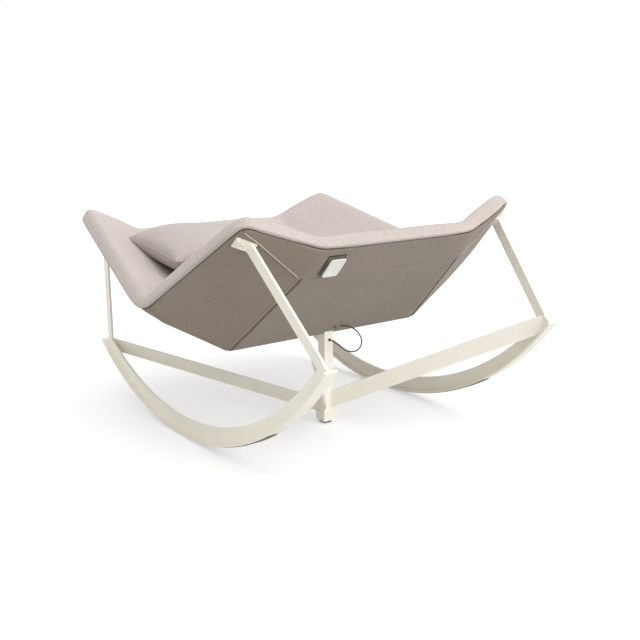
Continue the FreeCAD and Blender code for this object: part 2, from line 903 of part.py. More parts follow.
# brake inside the post
fit = size("brake_fit")
slide_half = bore_half - fit
brake_pad_body = box(
    "brake_pad_body",
    "sizes.post_size - 2 * sizes.post_wall - 2 * sizes.brake_fit",
    "sizes.post_size - 2 * sizes.post_wall - 2 * sizes.brake_fit",
    "brake_pad_height",
    Placement(Vector(-slide_half, -slide_half, 0), Rotation()),
)
piece(brake_pad_body, "brake_pad")
plunger_box = box(
    "plunger_box",
    "sizes.post_size - 2 * sizes.post_wall - 2 * sizes.brake_fit",
    "sizes.post_size - 2 * sizes.post_wall - 2 * sizes.brake_fit",
    "plunger_height",
    Placement(Vector(-slide_half, -slide_half, size("brake_pad_height")), Rotation()),
)
wire_bore = rod(
    "plunger_bore",
    "sizes.wire_size / 2",
    "20",
    Placement(Vector(0, 0, size("brake_pad_height") + size("plunger_height") - 16), Rotation()),
)
piece(cut("plunger", plunger_box, wire_bore), "brake_plunger")
plunger_top = size("brake_pad_height") + size("plunger_height")

stop_z = size("spring_stop_height")
stop_box = box(
    "stop_box",
    "sizes.post_size - 2 * sizes.post_wall",
    "sizes.post_size - 2 * sizes.post_wall",
    "spring_stop_thick",
    Placement(Vector(-bore_half, -bore_half, stop_z), Rotation()),
)
stop_hole = rod("stop_hole", "sizes.wire_size / 2 + 1.2", "30", Placement(Vector(0, 0, stop_z - 10), Rotation()))
piece(cut("stop", stop_box, stop_hole), "spring_stop")

wire_r = size("spring_wire") / 2
coil_r = size("spring_mean") / 2
spring_low = plunger_top + wire_r
spring_high = stop_z - wire_r
spring_pitch = (spring_high - spring_low) / size("spring_turns")
quarter = math.pi / 2
slope = spring_pitch / (2 * math.pi)


def coil_point(turn):
    return Vector(coil_r * math.cos(turn), coil_r * math.sin(turn), spring_low + slope * turn)


def coil_heading(turn):
    return Vector(-coil_r * math.sin(turn), coil_r * math.cos(turn), slope).normalize()


def biarc(a, b, heading_a, heading_b):
    # two tangent arcs from a to b that leave and arrive along the given headings
    gap_ab = b - a
    both = heading_a + heading_b
    p = 2 * (1 - heading_a.dot(heading_b))
    q = 2 * gap_ab.dot(both)
    reach = (-q + math.sqrt(q * q + 4 * p * gap_ab.dot(gap_ab))) / (2 * p)
    low = a + heading_a * reach
    high = b - heading_b * reach
    joint = (low + high) * 0.5
    arcs = []
    for start, apex, stop in ((a, low, joint), (joint, high, b)):
        chord_mid = (start + stop) * 0.5
        half = (apex - start).getAngle(stop - apex) / 2
        drop = (apex - chord_mid).Length
        arc_radius = reach / math.tan(half)
        rise = arc_radius / math.cos(half) - arc_radius
        arcs.append(Part.Arc(start, apex + (chord_mid - apex) * (rise / drop), stop).toShape())
    return arcs


coil_edges = []
for step in range(int(round(size("spring_turns") * 4))):
    low_turn = step * quarter
    high_turn = low_turn + quarter
    coil_edges += biarc(
        coil_point(low_turn), coil_point(high_turn), coil_heading(low_turn), coil_heading(high_turn)
    )
ring = Part.Wire([Part.Circle(coil_point(0), coil_heading(0), wire_r).toShape()])
coil = Part.Wire(coil_edges).makePipeShell([ring], True, False)
print("spring gap", round(spring_pitch - 2 * wire_r, 2), "volume ratio", round(
    coil.Volume / (math.pi * wire_r**2 * Part.Wire(coil_edges).Length), 4))
piece(shape_piece("return_spring_coil", coil), "return_spring")

elbow_low = grommet_z - size("elbow_tall") / 2
elbow_box = box(
    "elbow_box",
    "elbow_wide",
    "elbow_deep",
    "elbow_tall",
    Placement(Vector(-size("elbow_wide") / 2, -bore_half, elbow_low), Rotation()),
)
elbow_bore = rod(
    "elbow_bore",
    "sizes.wire_size / 2 + 0.3",
    "sizes.elbow_tall - 6",
    Placement(Vector(0, 0, elbow_low - 2), Rotation()),
)
piece(cut("elbow", elbow_box, elbow_bore), "cable_elbow")
wire_top = elbow_low + 6
wire_bottom = plunger_top - 16
brake_wire = rod(
    "brake_wire_rod",
    "sizes.wire_size / 2",
    "%.4f" % (wire_top - wire_bottom),
    Placement(Vector(0, 0, wire_bottom), Rotation()),
)
piece(brake_wire, "brake_wire")

grommet_face = rod(
    "grommet_face",
    "sizes.grommet_size / 2",
    "grommet_flange",
    Placement(Vector(3, -post_half - size("grommet_flange"), grommet_z), Rotation(Vector(0, 0, 1), Vector(0, 1, 0))),
)
grommet_neck = rod(
    "grommet_neck_rod",
    "sizes.grommet_neck / 2",
    "post_wall",
    Placement(Vector(3, -post_half, grommet_z), Rotation(Vector(0, 0, 1), Vector(0, 1, 0))),
)
piece(fuse("grommet", grommet_face, grommet_neck), "cable_grommet")

# cable
cable_r = size("cable_size") / 2
front_out = NORMALS["front"]
outlet_x = 16
outlet_on = Vector(outlet_x, -48, 0)
outlet_on.z = ridge.z - (front_out.y * (outlet_on.y - ridge.y)) / front_out.z
clip_thick = size("cable_size") + 5
clip_long = 18
clip_wide = 14
clip_axis = Vector(1, 0, 0)
clip_side = front_out.cross(clip_axis).normalize()
cable_start = outlet_on + clip_axis * (clip_long / 2) + front_out * (clip_thick / 2)
cable_end = Vector(3, -post_half - size("grommet_flange"), grommet_z)
ROUTE = [
    cable_start,
    cable_start + Vector(34, 0, 0),
    Vector(94, -72, 366),
    Vector(116, -84, 323),
    Vector(86, -92, 288),
    Vector(38, -82, 291),
    Vector(3, -54, grommet_z),
    cable_end,
]


def rounded_route(points):
    # straight runs joined by tangent arcs as large as the shorter neighbour run allows
    edges = []
    here = points[0]
    bends = []
    for a, b, c in zip(points, points[1:], points[2:]):
        d1 = (b - a).normalize()
        d2 = (c - b).normalize()
        turn = d1.getAngle(d2)
        trim = 0.45 * min((b - a).Length, (c - b).Length)
        bend = trim / math.tan(turn / 2)
        p = b - d1 * trim
        q = b + d2 * trim
        bisector = (d2 - d1).normalize()
        middle_axis = b + bisector * (bend / math.cos(turn / 2))
        mid = middle_axis - bisector * bend
        edges.append(Part.LineSegment(here, p).toShape())
        edges.append(Part.Arc(p, mid, q).toShape())
        bends.append((round(bend, 1), round(math.degrees(turn), 1)))
        here = q
    edges.append(Part.LineSegment(here, points[-1]).toShape())
    return edges, bends


def tube_along(points, radius):
    edges, bends = rounded_route(points)
    spine = Part.Wire(edges)
    start_dir = (points[1] - points[0]).normalize()
    ring = Part.Wire([Part.Circle(points[0], start_dir, radius).toShape()])
    tube = spine.makePipeShell([ring], True, False)
    expected = math.pi * radius**2 * spine.Length
    print("cable length", round(spine.Length, 1), "bends", bends, "volume ratio", round(tube.Volume / expected, 4))
    return tube


cable_tube = tube_along(ROUTE, cable_r)
piece(shape_piece("brake_cable_tube", cable_tube), "brake_cable")

clip_place = frame(outlet_on - clip_axis * (clip_long / 2) - clip_side * (clip_wide / 2), clip_axis, clip_side)
if clip_place.Rotation.multVec(Vector(0, 0, 1)).dot(front_out) < 0:
    clip_place = frame(outlet_on - clip_axis * (clip_long / 2) + clip_side * (clip_wide / 2), clip_axis, clip_side * -1)
clip = doc.addObject("Part::Box", "clip_box")
clip.Length = clip_long
clip.Width = clip_wide
clip.Height = clip_thick
clip.Placement = clip_place
neck_r = 6
neck_depth = core_depth - 0.5
neck_place = Placement(outlet_on, Rotation(Vector(0, 0, 1), front_out * -1))
neck = rod("clip_neck", "%.3f" % neck_r, "%.4f" % neck_depth, neck_place)
outlet = fuse("outlet", clip, neck)
piece(outlet, "cable_outlet")
outlet_solid_tool = Part.makeCylinder(neck_r, neck_depth + 1, outlet_on + front_out, front_out * -1)

# lever on the upper front panel
strip_normal = NORMALS["upper_front"]
strip_up = (Vector(0, rim_front.y - knee.y, rim_front.z - knee.z)).normalize()
strip_x = Vector(1, 0, 0)
lever_base = Vector(-size("lever_offset"), knee.y, knee.z) + strip_up * (size("lever_up_slope") - size("lever_long") / 2)
lever_w = size("lever_wide")
lever_l = size("lever_long")
gap = size("lever_gap")
wall = size("housing_wall")


def strip_box(name, x0, u0, n0, dx, du, dn):
    # block with its corner at x0 across, u0 up the panel and n0 above its outer face
    origin = lever_base + strip_x * x0 + strip_up * u0 + strip_normal * n0
    obj = doc.addObject("Part::Box", name)
    obj.Length = dx
    obj.Width = du
    obj.Height = dn
    place = frame(origin, strip_x, strip_up)
    if place.Rotation.multVec(Vector(0, 0, 1)).dot(strip_normal) < 0:
        origin = origin + strip_x * dx
        place = frame(origin, strip_x * -1, strip_up)
    obj.Placement = place
    return obj


inner_w = lever_w + 2 * gap
inner_l = lever_l + 2 * gap
depth = size("housing_depth")
lip = size("housing_lip")
lip_up = size("housing_lip_proud")
tray = strip_box("tray", -inner_w / 2 - wall, -gap - wall, -depth, inner_w + 2 * wall, inner_l + 2 * wall, depth)
flange = strip_box(
    "tray_lip",
    -inner_w / 2 - wall - lip,
    -gap - wall - lip,
    0,
    inner_w + 2 * wall + 2 * lip,
    inner_l + 2 * wall + 2 * lip,
    lip_up,
)
hollow = strip_box("tray_hollow", -inner_w / 2, -gap, -depth + wall, inner_w, inner_l, depth + 10)
tray_cut = cut("tray_whole", fuse("tray_sum", tray, flange), hollow)
pin_centre = lever_base + strip_up * size("lever_pin_up") - strip_normal * size("lever_pin_depth")
pin_hole_tool = rod(
    "tray_pin_hole",
    "sizes.lever_pin_size / 2",
    "%.4f" % (inner_w + 2 * wall + 2),
    Placement(pin_centre - strip_x * (inner_w / 2 + wall + 1), Rotation(Vector(0, 0, 1), strip_x)),
)
piece(cut("tray_pinned", tray_cut, pin_hole_tool), "lever_housing")
lever_pin = rod(
    "lever_pin_rod",
    "sizes.lever_pin_size / 2",
    "%.4f" % (inner_w + 2 * wall),
    Placement(pin_centre - strip_x * (inner_w / 2 + wall), Rotation(Vector(0, 0, 1), strip_x)),
)
piece(lever_pin, "lever_pin")
stand = size("lever_stand_off")
rib = size("lever_rib_thick")
plate = strip_box("lever_plate", -lever_w / 2, 0, stand, lever_w, lever_l, size("lever_thick"))
hub_radius = size("lever_pin_size") / 2 + size("lever_hub_wall")
rib_low = -size("lever_pin_depth") - hub_radius
# the rib starts at the pin, so that its lower edge clears the tray when the paddle is pulled
rib_box = strip_box(
    "lever_rib", -rib / 2, size("lever_pin_up"), rib_low, rib, size("lever_rib_long"), stand - rib_low
)
hub = rod(
    "lever_hub",
    "sizes.lever_pin_size / 2 + sizes.lever_hub_wall",
    "%.4f" % (rib + 16),
    Placement(pin_centre - strip_x * (rib / 2 + 8), Rotation(Vector(0, 0, 1), strip_x)),
)
lever_bore = rod(
    "lever_bore",
    "sizes.lever_pin_size / 2 + sizes.pin_fit",
    "%.4f" % (rib + 60),
    Placement(pin_centre - strip_x * (rib / 2 + 30), Rotation(Vector(0, 0, 1), strip_x)),
)
lever_whole = cut("lever_drilled", fuse("lever_sum2", fuse("lever_sum", plate, rib_box), hub), lever_bore)
piece(lever_whole, "brake_lever")

# clearance for the housing through cover, core and pad
housing_back = strip_box("tray_room", -inner_w / 2 - wall, -gap - wall, -depth, inner_w + 2 * wall, inner_l + 2 * wall, depth + 30)
doc.recompute()
housing_tool = housing_back.Shape.copy()

# sheathed run inside the core from the lever housing to the outlet
inner_start = lever_base + strip_x * 10 - strip_up * (gap + wall) - strip_normal * ((cover + core_depth) / 2)
inner_stop = outlet_on - front_out * ((cover + core_depth) / 2)
inner_dir = (inner_stop - inner_start).normalize()
inner_stop = inner_stop - inner_dir * neck_r
hidden = Part.makeCylinder(cable_r, (inner_stop - inner_start).Length, inner_start, inner_dir)
tunnel = Part.makeCylinder(
    cable_r + size("cable_tunnel_gap"), (inner_stop - inner_start).Length, inner_start, inner_dir
)
hidden = hidden.cut(housing_tool).cut(outlet_solid_tool)
piece(shape_piece("inner_cable_rod", hidden), "inner_cable")

# shell pieces with their openings
hole_tools = []
for spot, normal in screw_spots:
    hole_tools += both_sides(
        Part.makeCylinder(shank, size("screw_length") - leg_thick + 11.5, spot + normal * 10, normal * -1)
    )
insert_tools = []
for spot, normal in screw_spots:
    insert_tools += both_sides(
        Part.makeCylinder(size("insert_size") / 2, core_depth + 0.5, spot, normal * -1)
    )

core_ready = core_shape
for tool in insert_tools:
    core_ready = core_ready.cut(tool)
saddle_tool = saddle_body.Shape.copy()
post_tool = post_outer.Shape.copy()
core_ready = core_ready.cut(housing_tool).cut(outlet_solid_tool).cut(tunnel).cut(saddle_tool)
piece(shape_piece("shell_core_shape", core_ready), "shell_core")

for name in FACETS:
    shape = cover_shapes[name]
    for tool in hole_tools + [housing_tool, outlet_solid_tool, post_tool, saddle_tool]:
        if tool.BoundBox.intersect(shape.BoundBox):
            shape = shape.cut(tool)
    cover_shapes[name] = shape.removeSplitter()
    pad_shape = pad_shapes[name]
    if name == "upper_front":
        pad_shape = pad_shape.cut(housing_tool)
    pad_shapes[name] = pad_shape.removeSplitter()

upper_cover = cover_shapes["upper_front"]
upper_pad = pad_shapes["upper_front"]
for side in ("right", "left"):
    upper_cover = upper_cover.fuse(cover_shapes["front_corner_" + side])
    upper_pad = upper_pad.fuse(pad_shapes["front_corner_" + side])
cover_shapes["upper_front"] = upper_cover.removeSplitter()
pad_shapes["upper_front"] = upper_pad.removeSplitter()
LABELS = {
    "upper_front": "upper_front",
    "front": "front",
    "seat": "seat",
    "back": "back",
    "right_front": "right_front",
    "right_back": "right_back",
    "left_front": "left_front",
    "left_back": "left_back",
}
for name, label in LABELS.items():
    piece(shape_piece(label + "_cover_shape", cover_shapes[name]), label + "_cover")
    piece(shape_piece(label + "_pad_shape", pad_shapes[name]), label + "_pad")
piece(shape_piece("rim_welt_shape", welt_shape), "rim_welt")
piece(shape_piece("zip_tapes_shape", Part.makeCompound(zip_shapes)), "zip_tapes")

saddle_neck = rod("saddle_neck_hole", "%.3f" % neck_r, "%.4f" % neck_depth, neck_place)
piece(cut("saddle_ready", saddle_body, saddle_neck), "shell_saddle")

# pillow
pillow_w = size("pillow_wide")
pillow_l = size("pillow_long")
pillow_t = size("pillow_tall")


def pillow_section(s):
    # closed section across the pillow at s from -1 to 1: drawn in at the sides, fullest in the middle
    reach = pillow_l / 2 * (1 - 0.07 * (1 - s * s))
    full = pillow_t / 2 * (1 - abs(s) ** 2.6) ** 0.55 + 3
    points = []
    count = 28
    for i in range(count):
        angle = 2 * math.pi * i / count
        c = math.cos(angle)
        q = math.sin(angle)
        v = reach * math.copysign(abs(c) ** 0.9, c)
        w = full * math.copysign(abs(q) ** 1.25, q)
        points.append(Vector(s * pillow_w / 2, v, w))
    curve = Part.BSplineCurve()
    curve.interpolate(points, PeriodicFlag=True)
    return Part.Wire([curve.toShape()])


stations = (-1, -0.93, -0.8, -0.55, -0.2, 0.2, 0.55, 0.8, 0.93, 1)
pillow_shape = Part.makeLoft([pillow_section(s) for s in stations], True, False)
pillow_shape.rotate(Vector(), Vector(0, 1, 0), size("pillow_roll"))
pillow_shape.rotate(Vector(), Vector(1, 0, 0), size("pillow_pitch"))
inner_seat = Part.makeCompound([pad_shapes[name] for name in ("seat", "back", "left_back", "right_back")])
pillow_spot = Vector(-size("pillow_left"), size("pillow_back"), size("back_rim_height") + pillow_t)
# lowered until it rests on the pads below it, less the seating gap
for step in range(40):
    pillow_shape.Placement = Placement(pillow_spot, pillow_shape.Placement.Rotation)
    apart = pillow_shape.distToShape(inner_seat)[0] - size("pillow_gap")
    if apart < 0.02:
        break
    pillow_spot.z -= apart
pillow_obj = shape_piece("pillow_shape", pillow_shape)
print("pillow", step, round(apart, 3), pillow_spot)
piece(pillow_obj, "pillow")

# checks and export
doc.recompute()
for obj in doc.Objects:
    state = obj.State
    if "Invalid" in state or "Error" in state:
        raise RuntimeError("%s: %s" % (obj.Label, state))
for obj in PIECES:
    shape = obj.Shape
    if shape.isNull() or not shape.isValid():
        raise RuntimeError("bad shape: " + obj.Label)
    print(obj.Label, len(shape.Solids), round(shape.Volume / 1000, 1))
for obj in PIECES:
    obj.Shape.exportStep("parts/%s.step" % obj.Label)
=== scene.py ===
import math

import bmesh
import bpy
import numpy as np
from mathutils import Matrix, Vector, noise


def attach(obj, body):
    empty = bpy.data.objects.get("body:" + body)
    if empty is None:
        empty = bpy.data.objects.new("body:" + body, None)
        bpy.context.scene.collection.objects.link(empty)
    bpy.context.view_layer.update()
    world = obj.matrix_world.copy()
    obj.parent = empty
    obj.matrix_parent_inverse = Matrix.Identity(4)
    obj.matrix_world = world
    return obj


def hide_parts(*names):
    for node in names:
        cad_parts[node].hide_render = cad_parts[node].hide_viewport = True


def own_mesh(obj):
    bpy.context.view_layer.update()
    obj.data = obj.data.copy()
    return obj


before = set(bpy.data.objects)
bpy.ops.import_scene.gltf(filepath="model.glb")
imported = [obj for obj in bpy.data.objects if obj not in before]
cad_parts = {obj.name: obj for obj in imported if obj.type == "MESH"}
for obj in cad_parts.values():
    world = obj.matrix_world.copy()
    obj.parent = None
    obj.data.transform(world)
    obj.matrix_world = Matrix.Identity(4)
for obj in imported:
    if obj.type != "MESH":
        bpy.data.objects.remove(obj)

bl_info = {
    "name": "Rocking chaise lounge",
    "version": (1, 0, 0),
    "blender": (4, 5, 0),
    "location": "3D View > Sidebar > Lounge",
    "description": "Dresses the lounge frame: upholstery, cushion, cable, paint and studio",
    "category": "Object",
}

MM = 0.001

# Outer corners of the right half of the shell in millimetres, and which corners each panel joins.
CORNERS = {
    "F": (330, -421, 752),
    "N": (593, -358, 839),
    "V": (750, 24, 528.4),
    "L": (600, 812, 752),
    "S": (357, -331, 652),
    "P": (437, -6, 352),
}
PANELS = {
    "upper_front": ["Fr", "Fl", "Sl", "Sr"],
    "front_corner_right": ["Sr", "Nr", "Fr"],
    "front_corner_left": ["Sl", "Fl", "Nl"],
    "front": ["Sr", "Sl", "Pl", "Pr"],
    "seat": ["Pr", "Pl", "Ql", "Qr"],
    "back": ["Qr", "Ql", "Gl", "Gr"],
    "right_front": ["Pr", "Vr", "Nr", "Sr"],
    "right_back": ["Pr", "Qr", "Gr", "Lr", "Vr"],
    "left_front": ["Pl", "Sl", "Nl", "Vl"],
    "left_back": ["Pl", "Vl", "Ll", "Gl", "Ql"],
}
RIM = ["Fr", "Nr", "Vr", "Lr", "Gr", "Gl", "Ll", "Vl", "Nl", "Fl"]
# Panels that are cut from one piece of cloth share a cover.
COVERS = {
    "front_strip_cover": ["upper_front", "front_corner_right", "front_corner_left"],
    "front_under_cover": ["front"],
    "seat_under_cover": ["seat"],
    "back_under_cover": ["back"],
    "right_front_under_cover": ["right_front"],
    "right_back_under_cover": ["right_back"],
    "left_front_under_cover": ["left_front"],
    "left_back_under_cover": ["left_back"],
}


def wing_point(y, z):
    """Corner of the back wing's plane at a given reach and height."""
    ridge, end, peak = (np.array(CORNERS[k], float) for k in "PVL")
    normal = np.cross(end - ridge, peak - ridge)
    x = ridge[0] - (normal[1] * (y - ridge[1]) + normal[2] * (z - ridge[2])) / normal[0]
    return (x, y, z)


CORNERS["Q"] = wing_point(420, 470)
CORNERS["G"] = wing_point(862, 642)
OUTER = {}
for key, (x, y, z) in CORNERS.items():
    OUTER[key + "r"] = np.array((x, y, z), float) * MM
    OUTER[key + "l"] = np.array((-x, y, z), float) * MM
INSIDE = np.array((0, 0.15, 0.9))


def panel_normal(keys):
    points = [OUTER[k] for k in keys]
    total = sum(np.cross(a, b) for a, b in zip(points, points[1:] + points[:1]))
    total = total / np.linalg.norm(total)
    return -total if total @ (points[0] - INSIDE) < 0 else total


NORMALS = {name: panel_normal(keys) for name, keys in PANELS.items()}


def inward(key):
    """Move that takes a corner one unit into the shell off every panel that meets there."""
    rows = np.array([NORMALS[name] for name, keys in PANELS.items() if key in keys])
    return np.linalg.solve(rows.T @ rows + np.eye(3) * 1e-4, -rows.sum(axis=0))


INWARD = {key: inward(key) for key in OUTER}


# Sizes and colours that a user would change


def hex_property(name, default):
    return bpy.props.StringProperty(name=name, description="sRGB hex", default=default)


class LoungeCloth(bpy.types.PropertyGroup):
    shell_thick: bpy.props.FloatProperty(
        name="Shell thickness",
        description="From the underside cloth to the top cloth",
        default=0.049,
        unit="LENGTH",
    )
    crown: bpy.props.FloatProperty(
        name="Panel crown", description="How far the inner panels swell", default=0.004, unit="LENGTH"
    )
    seam_gap: bpy.props.FloatProperty(
        name="Seam gap", description="Width of the open seam between covers", default=0.0022, unit="LENGTH"
    )
    zip_width: bpy.props.FloatProperty(
        name="Zip width", description="Width of the dark zips under the shell", default=0.0105, unit="LENGTH"
    )
    thread: bpy.props.FloatProperty(
        name="Thread spacing",
        description="Distance between threads of the weave",
        default=0.0013,
        unit="LENGTH",
    )
    top_colour: hex_property("Top cloth", "C0B6AF")
    # Under cloth: the same cloth as the top, its colour darkened as painted shade for the shade under the
    # shell
    shaded_under_colour: hex_property("Under cloth", "8C8074")
    piping_colour: hex_property("Piping", "B7AA9B")
    pillow_colour: hex_property("Cushion cloth", "B8ADA9")


class LoungeCushion(bpy.types.PropertyGroup):
    cut: bpy.props.FloatVectorProperty(
        name="Cut size",
        description="Size of each cushion face before it is filled",
        default=(0.63, 0.43),
        size=2,
        unit="LENGTH",
    )
    full: bpy.props.FloatVectorProperty(
        name="Filled size",
        description="Size of the filled cushion",
        default=(0.6, 0.4, 0.19),
        size=3,
        unit="LENGTH",
    )
    centre: bpy.props.FloatVectorProperty(
        name="Centre",
        description="Where the cushion lies",
        default=(-0.222, 0.4, 0.6468),
        size=3,
        unit="LENGTH",
    )
    pitch: bpy.props.FloatProperty(
        name="Pitch", description="Turn about X", default=math.radians(5.7), unit="ROTATION"
    )
    roll: bpy.props.FloatProperty(
        name="Roll", description="Turn about Y", default=math.radians(5.2), unit="ROTATION"
    )


class LoungeMetal(bpy.types.PropertyGroup):
    paddle: bpy.props.FloatVectorProperty(
        name="Paddle",
        description="Width, length and sheet of the lever's paddle",
        default=(0.062, 0.084, 0.004),
        size=3,
        unit="LENGTH",
    )
    frame_colour: hex_property("Frame paint", "F8F3E6")
    lever_colour: hex_property("Lever paint", "EDECE6")
    screw_colour: hex_property("Screw paint", "E4E0D2")
    rubber_colour: hex_property("Rubber", "3A332C")
    cable_colour: hex_property("Cable sheath", "241E1A")


class LoungeStage(bpy.types.PropertyGroup):
    lens: bpy.props.FloatProperty(name="Lens", description="Focal length in millimetres", default=50.54)
    eye: bpy.props.FloatVectorProperty(
        name="Camera", description="Camera place", default=(-2.028, -2.611, 1.191), size=3, unit="LENGTH"
    )
    look: bpy.props.FloatVectorProperty(
        name="View direction", description="Where the camera looks", default=(0.5919, 0.7721, -0.2314), size=3
    )
    key: bpy.props.FloatProperty(
        name="Overhead light", description="Strength of the wide soft light", default=0.96
    )
    fill: bpy.props.FloatProperty(
        name="Front light", description="Strength of the soft front light", default=1.35
    )
    floor_colour: hex_property("Floor", "CDCDCD")
    floor_lift: bpy.props.FloatProperty(
        name="Floor lift", description="Light that only the camera and mirrors see on the floor", default=0.46
    )
    sky: bpy.props.FloatProperty(
        name="Room light", description="Strength of the surrounding light", default=0.82
    )


# Materials


def linear(hex_colour):
    """sRGB hex to linear colour."""
    parts = [int(hex_colour[i : i + 2], 16) / 255 for i in (0, 2, 4)]
    return [c / 12.92 if c <= 0.04045 else ((c + 0.055) / 1.055) ** 2.4 for c in parts] + [1.0]


def add(tree, kind, sockets=None, links=None, **settings):
    """One node with its settings, socket values and incoming links."""
    node = tree.nodes.new(kind)
    for name, value in settings.items():
        setattr(node, name, value)
    for name, value in (sockets or {}).items():
        node.inputs[name].default_value = value
    for name, source in (links or {}).items():
        tree.links.new(source, node.inputs[name])
    return node


def shade(colour, factor):
    return [min(1.0, c * factor) for c in colour[:3]] + [1.0]


def seen_straight(tree):
    """One on camera, glossy and transmission rays: a background is white there without lighting the piece."""
    path = add(tree, "ShaderNodeLightPath")
    seen = path.outputs["Is Camera Ray"]
    for ray in ("Is Glossy Ray", "Is Transmission Ray"):
        seen = add(
            tree, "ShaderNodeMath", links={0: seen, 1: path.outputs[ray]}, operation="MAXIMUM"
        ).outputs[0]
    return seen


def new_material(name):
    material = bpy.data.materials.new(name)
    material.use_nodes = True
    tree = material.node_tree
    tree.nodes.clear()
    out = tree.nodes.new("ShaderNodeOutputMaterial")
    shader = tree.nodes.new("ShaderNodeBsdfPrincipled")
    tree.links.new(shader.outputs[0], out.inputs[0])
    return material, tree, shader


def ramp(tree, source, stops):
    node = add(tree, "ShaderNodeValToRGB", links={"Fac": source})
    band = node.color_ramp
    while len(band.elements) < len(stops):
        band.elements.new(0.5)
    for element, (place, colour) in zip(band.elements, stops):
        element.position = place
        element.color = colour
    return node.outputs["Color"]


def wool_felt(name, hex_colour, thread, turn=0.0):
    """Woven wool melange: matt, softly mottled yarn of mixed fibres with a faint bloom at grazing angles."""
    material, tree, shader = new_material(name)
    colour = linear(hex_colour)
    place = add(tree, "ShaderNodeTexCoord").outputs["Object"]
    turned = add(tree, "ShaderNodeMapping", {"Rotation": (turn, turn, turn)}, {"Vector": place}).outputs[0]
    pitch = 1.0 / thread
    # fibre clumps about 4 mm across, drawn a little coarser than the yarn so that the render shows them
    clumps = add(
        tree, "ShaderNodeTexNoise", {"Scale": 240.0, "Detail": 4.0, "Roughness": 0.62}, {"Vector": turned}
    )
    # slow drift of the dye over about 150 mm
    drift = add(
        tree, "ShaderNodeTexNoise", {"Scale": 6.5, "Detail": 2.0, "Roughness": 0.5}, {"Vector": place}
    )
    # slubs: yarn stretched along one direction
    long = add(tree, "ShaderNodeMapping", {"Scale": (0.35, 1.0, 1.0)}, {"Vector": turned}).outputs[0]
    slubs = add(
        tree, "ShaderNodeTexNoise", {"Scale": pitch * 0.55, "Detail": 2.0, "Roughness": 0.5}, {"Vector": long}
    )
    mixed = add(
        tree, "ShaderNodeMath", links={0: clumps.outputs["Fac"], 1: slubs.outputs["Fac"]}, operation="ADD"
    )
    whole = add(tree, "ShaderNodeMath", {1: 0.45}, {0: mixed.outputs[0]}, operation="MULTIPLY")
    soft = add(tree, "ShaderNodeMath", {1: 0.10}, {0: drift.outputs["Fac"]}, operation="MULTIPLY")
    tone = add(tree, "ShaderNodeMath", links={0: whole.outputs[0], 1: soft.outputs[0]}, operation="ADD")
    colours = ramp(
        tree,
        tone.outputs[0],
        [(0.36, shade(colour, 0.74)), (0.50, colour), (0.64, shade(colour, 1.2))],
    )
    tree.links.new(colours, shader.inputs["Base Color"])
    # weave relief: two crossed thread directions
    threads = []
    for axis in ("X", "Y"):
        wave = add(
            tree,
            "ShaderNodeTexWave",
            {"Scale": pitch / (2 * math.pi), "Distortion": 1.2, "Detail": 1.0, "Detail Scale": 2.0},
            {"Vector": turned},
            bands_direction=axis,
        )
        threads.append(wave.outputs["Fac"])
    weave = add(tree, "ShaderNodeMath", links={0: threads[0], 1: threads[1]}, operation="MULTIPLY")
    relief = add(tree, "ShaderNodeMath", links={0: weave.outputs[0], 1: mixed.outputs[0]}, operation="ADD")
    bump = add(
        tree, "ShaderNodeBump", {"Strength": 0.55, "Distance": 0.0007}, {"Height": relief.outputs[0]}
    )
    tree.links.new(bump.outputs[0], shader.inputs["Normal"])
    shader.inputs["Roughness"].default_value = 0.94
    shader.inputs["Specular IOR Level"].default_value = 0.2
    shader.inputs["Sheen Weight"].default_value = 0.22
    shader.inputs["Sheen Roughness"].default_value = 0.55
    return material


def gloss_and_grain(tree, shader, mottle, rough, below, above, grain, strength, relief):
    """Roughness that drifts with the mottle, and a fine bump from the grain."""
    limits = {"From Min": 0.3, "From Max": 0.7, "To Min": rough - below, "To Max": rough + above}
    gloss = add(tree, "ShaderNodeMapRange", limits, {"Value": mottle.outputs["Fac"]})
    tree.links.new(gloss.outputs[0], shader.inputs["Roughness"])
    depth = {"Strength": strength, "Distance": relief}
    bump = add(tree, "ShaderNodeBump", depth, {"Height": grain.outputs["Fac"]})
    tree.links.new(bump.outputs[0], shader.inputs["Normal"])


def powder_coat(name, hex_colour, rough=0.42):
    """Powder-coated steel: satin, with a fine orange peel and slow changes of tone and gloss."""
    material, tree, shader = new_material(name)
    colour = linear(hex_colour)
    place = add(tree, "ShaderNodeTexCoord").outputs["Object"]
    peel = add(
        tree, "ShaderNodeTexNoise", {"Scale": 420.0, "Detail": 2.0, "Roughness": 0.5}, {"Vector": place}
    )
    drift = add(
        tree, "ShaderNodeTexNoise", {"Scale": 9.0, "Detail": 3.0, "Roughness": 0.55}, {"Vector": place}
    )
    colours = ramp(tree, drift.outputs["Fac"], [(0.35, shade(colour, 0.965)), (0.65, colour)])
    tree.links.new(colours, shader.inputs["Base Color"])
    gloss_and_grain(tree, shader, drift, rough, 0.05, 0.07, peel, 0.16, 0.0002)
    return material


def moulded(name, hex_colour, rough, grain, relief, metal=0.0):
    """Moulded rubber or plastic, or plain plated metal: fine grain with small changes of gloss."""
    material, tree, shader = new_material(name)
    colour = linear(hex_colour)
    place = add(tree, "ShaderNodeTexCoord").outputs["Object"]
    fine = add(
        tree, "ShaderNodeTexNoise", {"Scale": 1.0 / grain, "Detail": 3.0, "Roughness": 0.6}, {"Vector": place}
    )
    colours = ramp(tree, fine.outputs["Fac"], [(0.3, shade(colour, 0.8)), (0.7, shade(colour, 1.15))])
    tree.links.new(colours, shader.inputs["Base Color"])
    gloss_and_grain(tree, shader, fine, rough, 0.06, 0.06, fine, 0.3, relief)
    shader.inputs["Metallic"].default_value = metal
    return material


def material_of(name, maker, *arguments, **options):
    """The named material, made the first time that a piece asks for it."""
    found = bpy.data.materials.get(name)
    return found if found else maker(name, *arguments, **options)


